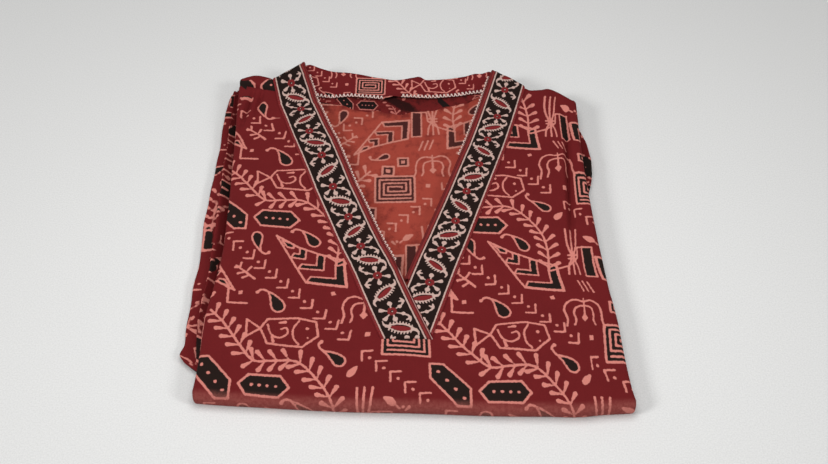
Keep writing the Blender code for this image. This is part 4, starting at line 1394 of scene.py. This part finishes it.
def folded_layers(chart, material):
    """Back, skirt and side panels folded inside: a stack of rounded edges."""
    shares, across = np.linspace(0.0, 1.0, 110)[:, None], np.linspace(0.0, 1.0, 100)
    left, right = bundle_outline(shares)
    x = left + (right - left) * across
    near, far = near_tangent(x) - 1.0, far_line(x) - BUNDLE_FAR_INSET
    y = near + shares * (far - near)
    top = np.stack([x, y, bundle_top(x, y)], -1)
    low = np.stack([x, y, BUNDLE_FLOOR + 0 * x], -1)
    rim, base = ring_of(top), ring_of(low)
    along = np.roll(base, -1, 0) - np.roll(base, 1, 0)
    along /= np.linalg.norm(along, axis=1)[:, None]
    out = np.stack([along[:, 1], -along[:, 0], 0 * along[:, 0]], -1)
    length = np.cumsum(np.linalg.norm(np.roll(base, -1, 0) - base, axis=1))
    skirt, drops = [], []
    for layer in range(BUNDLE_LAYERS):
        bulge = 1.6 + 0.7 * np.sin(length / (23.0 + 7.0 * layer) + 2.1 * layer)
        for turn in np.linspace(0.0, math.pi, 8)[(layer > 0) :]:
            level = (layer + (1 - math.cos(turn)) / 2) / BUNDLE_LAYERS
            skirt.append(rim + (base - rim) * level + out * (bulge * math.sin(turn))[:, None])
            drops.append(layer * 40.0 + turn * 3.0)
    rows = np.array([np.concatenate([loop, loop[:1]]) for loop in skirt])[::-1]
    around = np.concatenate([length, length[-1:] + 2.0])
    cloth = (around + 0 * rows[..., 0], np.array(drops)[::-1, None] + 0 * rows[..., 0])
    grid = grid_of(np.moveaxis(rows, -1, 0), cloth)
    layers = make_mesh("folded_layer_edges", grid, print_fields(chart, grid), material)
    caps = []
    for name, points, flip in (("folded_layers_top", top, False), ("folded_layers_base", low, True)):
        cap = grid_of(np.moveaxis(points, -1, 0), (x, y))
        caps.append(make_mesh(name, cap, print_fields(chart, cap), material, flip=flip))
    return layers, *caps


# ---------------------------------------------------------------- materials

# sizes of what shows on the cloth, in mm
THREAD_PITCH = 0.8727  # cambric has a thread every 0.35 mm: drawn coarser, so that it shows
SLUB = 0.5882  # thick places in the yarn
INK_GRAIN = 2.381  # how far apart the ragged places of a printed edge are
DYE_PATCH = 18.18  # how wide the patches are where the dye took better or worse
PAINTED_SHADE_BLOTCH = 11.76
FUZZ = 1.111  # fuzz of a thread is 0.1 mm: drawn coarser, so that it shows
WAVE_BANDS = 20.0  # a wave texture turns through this many radians in one unit

WEAVE_RELIEF = 0.0004  # metres
THREAD_RELIEF = 0.0002
DULL = 0.08  # so open and hairy a weave scatters nearly all of cotton's gloss
FIBRE_IOR = 1.5  # cotton and polyester are both a little above this


def srgb(text):
    """A colour written as hex, made linear."""
    values = [int(text[i : i + 2], 16) / 255 for i in (0, 2, 4)]
    return (*((v / 12.92 if v <= 0.04045 else ((v + 0.055) / 1.055) ** 2.4) for v in values), 1.0)


def add(tree, kind, links=None, **settings):
    """Adds a node: links go to its sockets by name or number, settings to its properties.

    What is linked is another node's output, or the node itself where its first output is meant.
    """
    node = tree.nodes.new(kind)
    for name, value in settings.items():
        setattr(node, name, value)
    for socket, value in (links or {}).items():
        if isinstance(value, bpy.types.Node):
            value = value.outputs[0]
        if isinstance(value, bpy.types.NodeSocket):
            tree.links.new(value, node.inputs[socket])
        else:
            node.inputs[socket].default_value = value
    return node


Print = namedtuple("Print", "ground line fill softness fray mottle slubs")  # colours, then amounts


def printed_cloth(name, look, painted_shade_colour=None, painted_highlight_colour=None):
    """Plain-woven cotton, dyed, then printed by hand in two inks from wooden blocks.

    The eye gets a dry, dull face with a fine thread to it. The inks end in soft, ragged edges, and
    the dye is uneven, in wide patches and in single slubs. Where given, a darker colour is mixed in
    by an attribute as painted shade, and a paler one as a painted highlight.
    """
    material = bpy.data.materials.new(name)
    material.use_nodes = True
    tree = material.node_tree
    places = add(tree, "ShaderNodeUVMap", uv_map="cloth")  # in mm, along the cloth's own threads
    grain, patches, slubs = (
        add(
            tree,
            "ShaderNodeTexNoise",
            {"Vector": places, "Scale": 1 / size, "Detail": detail, "Roughness": roughness},
            noise_dimensions="2D",
        )
        for size, detail, roughness in (
            (INK_GRAIN, 3.0, 0.7), (DYE_PATCH, 3.0, 0.6), (SLUB, 1.0, 0.5),
        )  # fmt: skip
    )
    warp, weft = (
        add(
            tree,
            "ShaderNodeTexWave",
            {"Vector": places, "Scale": math.tau / WAVE_BANDS / THREAD_PITCH, "Distortion": 0.6,
             "Detail": 1.0},
            bands_direction=way,
        ).outputs["Fac"]
        for way in "XY"
    )  # fmt: skip
    weave = add(tree, "ShaderNodeMath", {0: warp, 1: weft}, operation="ADD")
    dye = 1.0
    for pattern, share, rest in (
        (patches, look.mottle, 1 - look.mottle / 2), (slubs, look.slubs, 1 - look.slubs / 2),
        (weave, 0.05, 0.95),
    ):  # fmt: skip
        part = add(tree, "ShaderNodeMath", {0: pattern, 1: share, 2: rest}, operation="MULTIPLY_ADD")
        dye = add(tree, "ShaderNodeMath", {0: dye, 1: part}, operation="MULTIPLY")
    colour = srgb(look.ground)
    # painted shade: a darker colour mixed in by an attribute, broken into blotches
    if painted_shade_colour:
        painted_shade_share = add(tree, "ShaderNodeAttribute", attribute_name="painted_shade_share").outputs["Fac"]
        links = {"Vector": places, "Scale": 1 / PAINTED_SHADE_BLOTCH, "Detail": 4.0, "Roughness": 0.65}
        blotch = add(tree, "ShaderNodeTexNoise", links, noise_dimensions="2D")
        blotch = add(tree, "ShaderNodeMath", {0: blotch, 1: 2.6, 2: -1.3}, operation="MULTIPLY_ADD")
        painted_shade_share = add(tree, "ShaderNodeMath", {0: painted_shade_share, 1: 0.62, 2: blotch}, operation="MULTIPLY_ADD")
        share = add(tree, "ShaderNodeClamp", {0: painted_shade_share})
        links = {0: share, 6: colour, 7: srgb(painted_shade_colour)}
        colour = add(tree, "ShaderNodeMix", links, data_type="RGBA").outputs[2]
    ragged = add(tree, "ShaderNodeMath", {0: grain, 1: look.fray, 2: -look.fray / 2},
                 operation="MULTIPLY_ADD")  # fmt: skip
    for field, ink in (("fill", look.fill), ("line", look.line)):
        distance = add(tree, "ShaderNodeAttribute", attribute_name=field).outputs["Fac"]
        distance = add(tree, "ShaderNodeMath", {0: distance, 1: ragged}, operation="ADD")
        share = add(
            tree,
            "ShaderNodeMapRange",
            {0: distance, 1: -look.softness, 2: look.softness, 3: 1.0, 4: 0.0},
            interpolation_type="SMOOTHSTEP",
        )
        links = {0: share, 6: colour, 7: srgb(ink)}
        colour = add(tree, "ShaderNodeMix", links, data_type="RGBA").outputs[2]
    # painted highlight: a paler colour mixed in by an attribute, broken up by the ink grain
    if painted_highlight_colour:
        near_fold_highlight = add(tree, "ShaderNodeAttribute", attribute_name="near_fold_highlight").outputs["Fac"]
        highlight_grain = add(tree, "ShaderNodeMath", {0: grain, 1: 0.9, 2: 0.05}, operation="MULTIPLY_ADD")
        share = add(tree, "ShaderNodeMath", {0: near_fold_highlight, 1: highlight_grain}, operation="MULTIPLY")
        links = {0: share, 6: colour, 7: srgb(painted_highlight_colour)}
        colour = add(tree, "ShaderNodeMix", links, data_type="RGBA").outputs[2]
    grey = add(tree, "ShaderNodeCombineColor", {0: dye, 1: dye, 2: dye})
    links = {0: 1.0, 6: colour, 7: grey}
    colour = add(tree, "ShaderNodeMix", links, data_type="RGBA", blend_type="MULTIPLY").outputs[2]
    height = add(tree, "ShaderNodeMath", {0: weave, 1: 0.5, 2: slubs}, operation="MULTIPLY_ADD")
    bump = add(tree, "ShaderNodeBump", {"Height": height, "Strength": 0.25, "Distance": WEAVE_RELIEF})
    rough = add(tree, "ShaderNodeMath", {0: slubs, 1: 0.12, 2: 0.8}, operation="MULTIPLY_ADD")
    shader = tree.nodes["Principled BSDF"]
    tree.links.new(colour, shader.inputs["Base Color"])
    tree.links.new(rough.outputs[0], shader.inputs["Roughness"])
    tree.links.new(bump.outputs[0], shader.inputs["Normal"])
    shader.inputs["IOR"].default_value = FIBRE_IOR
    shader.inputs["Specular IOR Level"].default_value = DULL
    return material


def spun_yarn(name, colour, roughness=0.85):
    """Undyed or dyed yarn, spun and plied: the eye gets one matt colour that fuzz makes uneven."""
    material = bpy.data.materials.new(name)
    material.use_nodes = True
    tree = material.node_tree
    places = add(tree, "ShaderNodeTexCoord").outputs["Object"]
    links = {"Vector": places, "Scale": 1 / (FUZZ * MM), "Detail": 1.0}
    fuzz = add(tree, "ShaderNodeTexNoise", links)
    dye = add(tree, "ShaderNodeMath", {0: fuzz, 1: 0.25, 2: 0.87}, operation="MULTIPLY_ADD")
    grey = add(tree, "ShaderNodeCombineColor", {0: dye, 1: dye, 2: dye})
    links = {0: 1.0, 6: srgb(colour), 7: grey}
    mixed = add(tree, "ShaderNodeMix", links, data_type="RGBA", blend_type="MULTIPLY")
    bump = add(tree, "ShaderNodeBump", {"Height": fuzz, "Strength": 0.3, "Distance": THREAD_RELIEF})
    shader = tree.nodes["Principled BSDF"]
    tree.links.new(mixed.outputs[2], shader.inputs["Base Color"])
    tree.links.new(bump.outputs[0], shader.inputs["Normal"])
    shader.inputs["Roughness"].default_value = roughness
    shader.inputs["IOR"].default_value = FIBRE_IOR
    return material


# ---------------------------------------------------------------- stitches, with geometry nodes

STITCH_SEED = 7


def stitch_tree(name, stitch, material):
    """A tree that sets one stitch at every pitch along a path, turned to follow it."""
    tree = bpy.data.node_groups.new(name, "GeometryNodeTree")
    tree.is_modifier = True
    tree.interface.new_socket("Path", in_out="INPUT", socket_type="NodeSocketGeometry")
    tree.interface.new_socket("Stitches", in_out="OUTPUT", socket_type="NodeSocketGeometry")
    inputs = {}
    for label in ("Pitch", "Size", "Unevenness"):
        socket = tree.interface.new_socket(label, in_out="INPUT", socket_type="NodeSocketFloat")
        inputs[label] = socket.identifier
    start = add(tree, "NodeGroupInput")
    curve_of = add(tree, "GeometryNodeMeshToCurve", {"Mesh": start.outputs["Path"]})
    spaced = add(
        tree,
        "GeometryNodeCurveToPoints",
        {"Curve": curve_of, "Length": start.outputs["Pitch"]},
        mode="LENGTH",
    )
    shape = add(tree, "GeometryNodeObjectInfo", {"Object": stitch})
    facing = add(tree, "GeometryNodeInputNamedAttribute", {"Name": "up"}, data_type="FLOAT_VECTOR")
    turned = add(tree, "FunctionNodeAlignEulerToVector", {"Vector": spaced.outputs["Tangent"]}, axis="X")
    stood = add(
        tree,
        "FunctionNodeAlignEulerToVector",
        {"Rotation": turned, "Vector": facing},
        axis="Z",
        pivot_axis="X",
    )
    uneven = add(
        tree, "FunctionNodeRandomValue", {2: -1.0, 3: 1.0, "Seed": STITCH_SEED}, data_type="FLOAT"
    )
    links = {0: uneven.outputs[1], 1: start.outputs["Unevenness"], 2: 1.0}
    share = add(tree, "ShaderNodeMath", links, operation="MULTIPLY_ADD")
    scale = add(tree, "ShaderNodeMath", {0: share, 1: start.outputs["Size"]}, operation="MULTIPLY")
    set_out = add(
        tree,
        "GeometryNodeInstanceOnPoints",
        {"Points": spaced, "Instance": shape.outputs["Geometry"], "Rotation": stood, "Scale": scale},
    )
    real = add(tree, "GeometryNodeRealizeInstances", {0: set_out})
    dressed = add(tree, "GeometryNodeSetMaterial", {"Geometry": real, "Material": material})
    add(tree, "NodeGroupOutput", {0: dressed})
    return tree, inputs


def stitches_along(name, path, stitch, material, pitch, size=1.0, unevenness=0.12):
    """Stitches along a path of points in mm: their tops face up, and they lie to its left."""
    mesh = bpy.data.meshes.new(name)
    edges = [(i, i + 1) for i in range(len(path) - 1)]
    mesh.from_pydata([tuple(p) for p in path * MM], edges, [])
    facing = mesh.attributes.new(name="up", type="FLOAT_VECTOR", domain="POINT")
    facing.data.foreach_set("vector", np.tile([0.0, 0.0, 1.0], len(path)))
    guide = shown(name + "_guide", mesh)
    tree, inputs = stitch_tree(name, stitch, material)
    modifier = guide.modifiers.new("stitches", "NODES")
    modifier.node_group = tree
    for label, value in (("Pitch", pitch * MM), ("Size", size), ("Unevenness", unevenness)):
        modifier[inputs[label]] = value
    graph = bpy.context.evaluated_depsgraph_get()
    made = bpy.data.meshes.new_from_object(guide.evaluated_get(graph), depsgraph=graph)
    made.name = name
    bpy.data.objects.remove(guide)
    return shown(name, made)


def thread_shape(name, path, radius, sides=6):
    """A short length of thread along a path in mm, with pinched ends: the shape of one stitch."""
    path = np.array(path, float)
    along = np.gradient(path, axis=0)
    along /= np.linalg.norm(along, axis=1)[:, None]
    aside = np.cross(along, (0.31, 0.82, 0.48))  # any way that no path runs
    aside /= np.linalg.norm(aside, axis=1)[:, None]
    above = np.cross(along, aside)
    turns = np.linspace(0, math.tau, sides, endpoint=False)[:, None]
    radii = radius * np.concatenate([[0.45], np.ones(len(path) - 2), [0.45]])
    rings = [
        p + r * (np.cos(turns) * a + np.sin(turns) * b) for p, r, a, b in zip(path, radii, aside, above)
    ]
    last = (len(path) - 1) * sides
    faces = [
        (i + k, i + (k + 1) % sides, i + sides + (k + 1) % sides, i + sides + k)
        for i in range(0, last, sides)
        for k in range(sides)
    ]
    faces += [tuple(range(sides - 1, -1, -1)), tuple(last + k for k in range(sides))]
    mesh = bpy.data.meshes.new(name)
    mesh.from_pydata([tuple(p) for p in np.concatenate(rings) * MM], [], faces)
    mesh.shade_smooth()
    return bpy.data.objects.new(name, mesh)


# ---------------------------------------------------------------- stage, light and camera

FLOOR_HALF = 4.0


def stage(material):
    """The white cloth that the kurta lies on, as one plain floor."""
    mesh = bpy.data.meshes.new("floor")
    corners = [(x * FLOOR_HALF, y * FLOOR_HALF, 0) for x, y in ((-1, -1), (1, -1), (1, 1), (-1, 1))]
    mesh.from_pydata(corners, [], [(0, 1, 2, 3)])
    mesh.materials.append(material)
    shown("floor", mesh)


def lamp(name, place, aim, power, size):
    """A soft square lamp, turned to a point."""
    light = bpy.data.lights.new(name, "AREA")
    light.energy, light.size = power, size
    lamp_object = shown(name, light)
    lamp_object.location = place
    x, y, z = np.subtract(aim, place)
    lamp_object.rotation_euler = (math.atan2(math.hypot(x, y), -z), 0.0, math.atan2(x, -y) + math.pi)
    lamp_object.visible_camera = False


def studio():
    """A pale room with two soft square lamps in front, left and right, and a small one above."""
    world = bpy.data.worlds.new("studio")
    world.use_nodes = True
    background = world.node_tree.nodes["Background"]
    background.inputs["Color"].default_value = srgb("f4f4f3")
    background.inputs["Strength"].default_value = 0.3
    bpy.context.scene.world = world
    lamp("left_lamp", (-2.0, -0.9, 1.45), (0.0, 0.0, 0.0), 30.0, 0.6)
    lamp("right_lamp", (2.0, -0.9, 1.45), (0.0, 0.0, 0.0), 21.0, 0.6)
    lamp("lamp_above", (0.0, -0.07, 0.55), (0.0, -0.07, 0.0), 1.42, 0.35)
    bpy.context.scene.view_settings.view_transform = "Standard"
    lens = bpy.data.cameras.new("camera")
    lens.lens = 41.3
    camera = shown("camera", lens)
    camera.location = (0.00675, -0.4865, 0.570)
    camera.rotation_euler = (math.radians(40.0), 0.0, 0.0)
    bpy.context.scene.camera = camera


# ---------------------------------------------------------------- dressing the frame


def main():
    chart, band_chart = main_chart(), border_chart()
    # cambric, block printed: a deep maroon ground, with a painted highlight along the near fold, paler
    # where it faces the lamps
    look = Print("681c1e", "ce7f74", "231815", 0.3, 1.3, 0.16, 0.26)
    cambric = printed_cloth("block_printed_cambric", look, painted_highlight_colour="96534c")
    # its wrong side, where the inks struck through: lighter, more orange, blurred and blotched
    look = Print("9a4034", "c07a6c", "45211f", 0.5, 1.4, 0.24, 0.34)
    # with painted shade mixed in: darker by the left binding and under the facing
    wrong_side = printed_cloth("block_printed_cambric_wrong_side", look, painted_shade_colour="66221f")
    # the same cloth inside a seam, in painted shade: ground and inks darker than the front's, and near
    # black where the shadow is
    look = Print("641c1c", "b0655c", "1d1312", 0.4, 1.3, 0.16, 0.2)
    shaded_seam_cloth = printed_cloth("block_printed_cambric_seam_in_painted_shade", look, painted_shade_colour="2a0f0e")
    # woven cotton tape, printed with a fine screen: black, with crisp and nearly even inks
    look = Print("211613", "c3a49a", "782526", 0.24, 0.7, 0.12, 0.2)
    band = printed_cloth("screen_printed_cotton_tape", look)
    # cotton cut on the bias for the binding: its lines run clean along the fold
    look = Print("7c2c2b", "cfaaa2", "5e2020", 0.3, 0.3, 0.14, 0.2)
    edge = printed_cloth("bias_cut_cotton_binding", look)
    overlock_thread = spun_yarn("spun_polyester_overlock_thread", "dfc6be")
    picot_thread = spun_yarn("mercerised_cotton_picot_thread", "d3b3aa")
    sewing_thread = spun_yarn("spun_polyester_sewing_thread", "84383a")

    left = front_half("front_left", -1, chart, cambric)
    right = front_half("front_right", 1, chart, cambric)
    under = front_underside(chart, cambric)
    back = back_panel(chart, wrong_side)
    facing = back_neck_facing(chart, cambric)
    turning = facing_turning(chart, shaded_seam_cloth)
    binding_left, border_left, binding_right, border_right = neck_tapes(band_chart, band, edge)
    stitches = neck_stitches(overlock_thread, picot_thread, sewing_thread)
    sleeve_left = sleeve("left", -1, LEFT_SLEEVE, 6.5, chart, (44.0, -45.0), cambric)
    sleeve_right = sleeve("right", 1, RIGHT_SLEEVE, 3.0, chart, (10.0, -65.0), cambric)
    layers, layers_top, layers_base = folded_layers(chart, cambric)

    # bleached cotton sheeting under it: near white, and too matt to mirror anything
    stage(spun_yarn("bleached_cotton_sheeting", "e2e2e1", 0.9))
    studio()
    dressed = (
        (left, "front_panel", "printed_cotton"),
        (right, "front_panel", "printed_cotton"),
        (under, "front_panel", "printed_cotton"),
        (back, "back_panel", "printed_cotton_reverse"),
        (facing, "back_neck_facing", "printed_cotton"),
        (turning, "back_neck_facing", "printed_cotton"),
        (binding_left, "neck_binding_left", "binding_cotton"),
        (border_left, "neck_border_left", "border_cotton"),
        (binding_right, "neck_binding_right", "binding_cotton"),
        (border_right, "neck_border_right", "border_cotton"),
        (sleeve_left, "sleeve_left", "printed_cotton"),
        (sleeve_right, "sleeve_right", "printed_cotton"),
        (layers, "folded_layers", "printed_cotton"),
        (layers_top, "folded_layers", "printed_cotton"),
        (layers_base, "folded_layers", "printed_cotton"),
    )
    for piece, node, finish in dressed:
        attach(piece, "root")
        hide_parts(node)
    for name, piece in stitches.items():
        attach(piece, "root")


main()
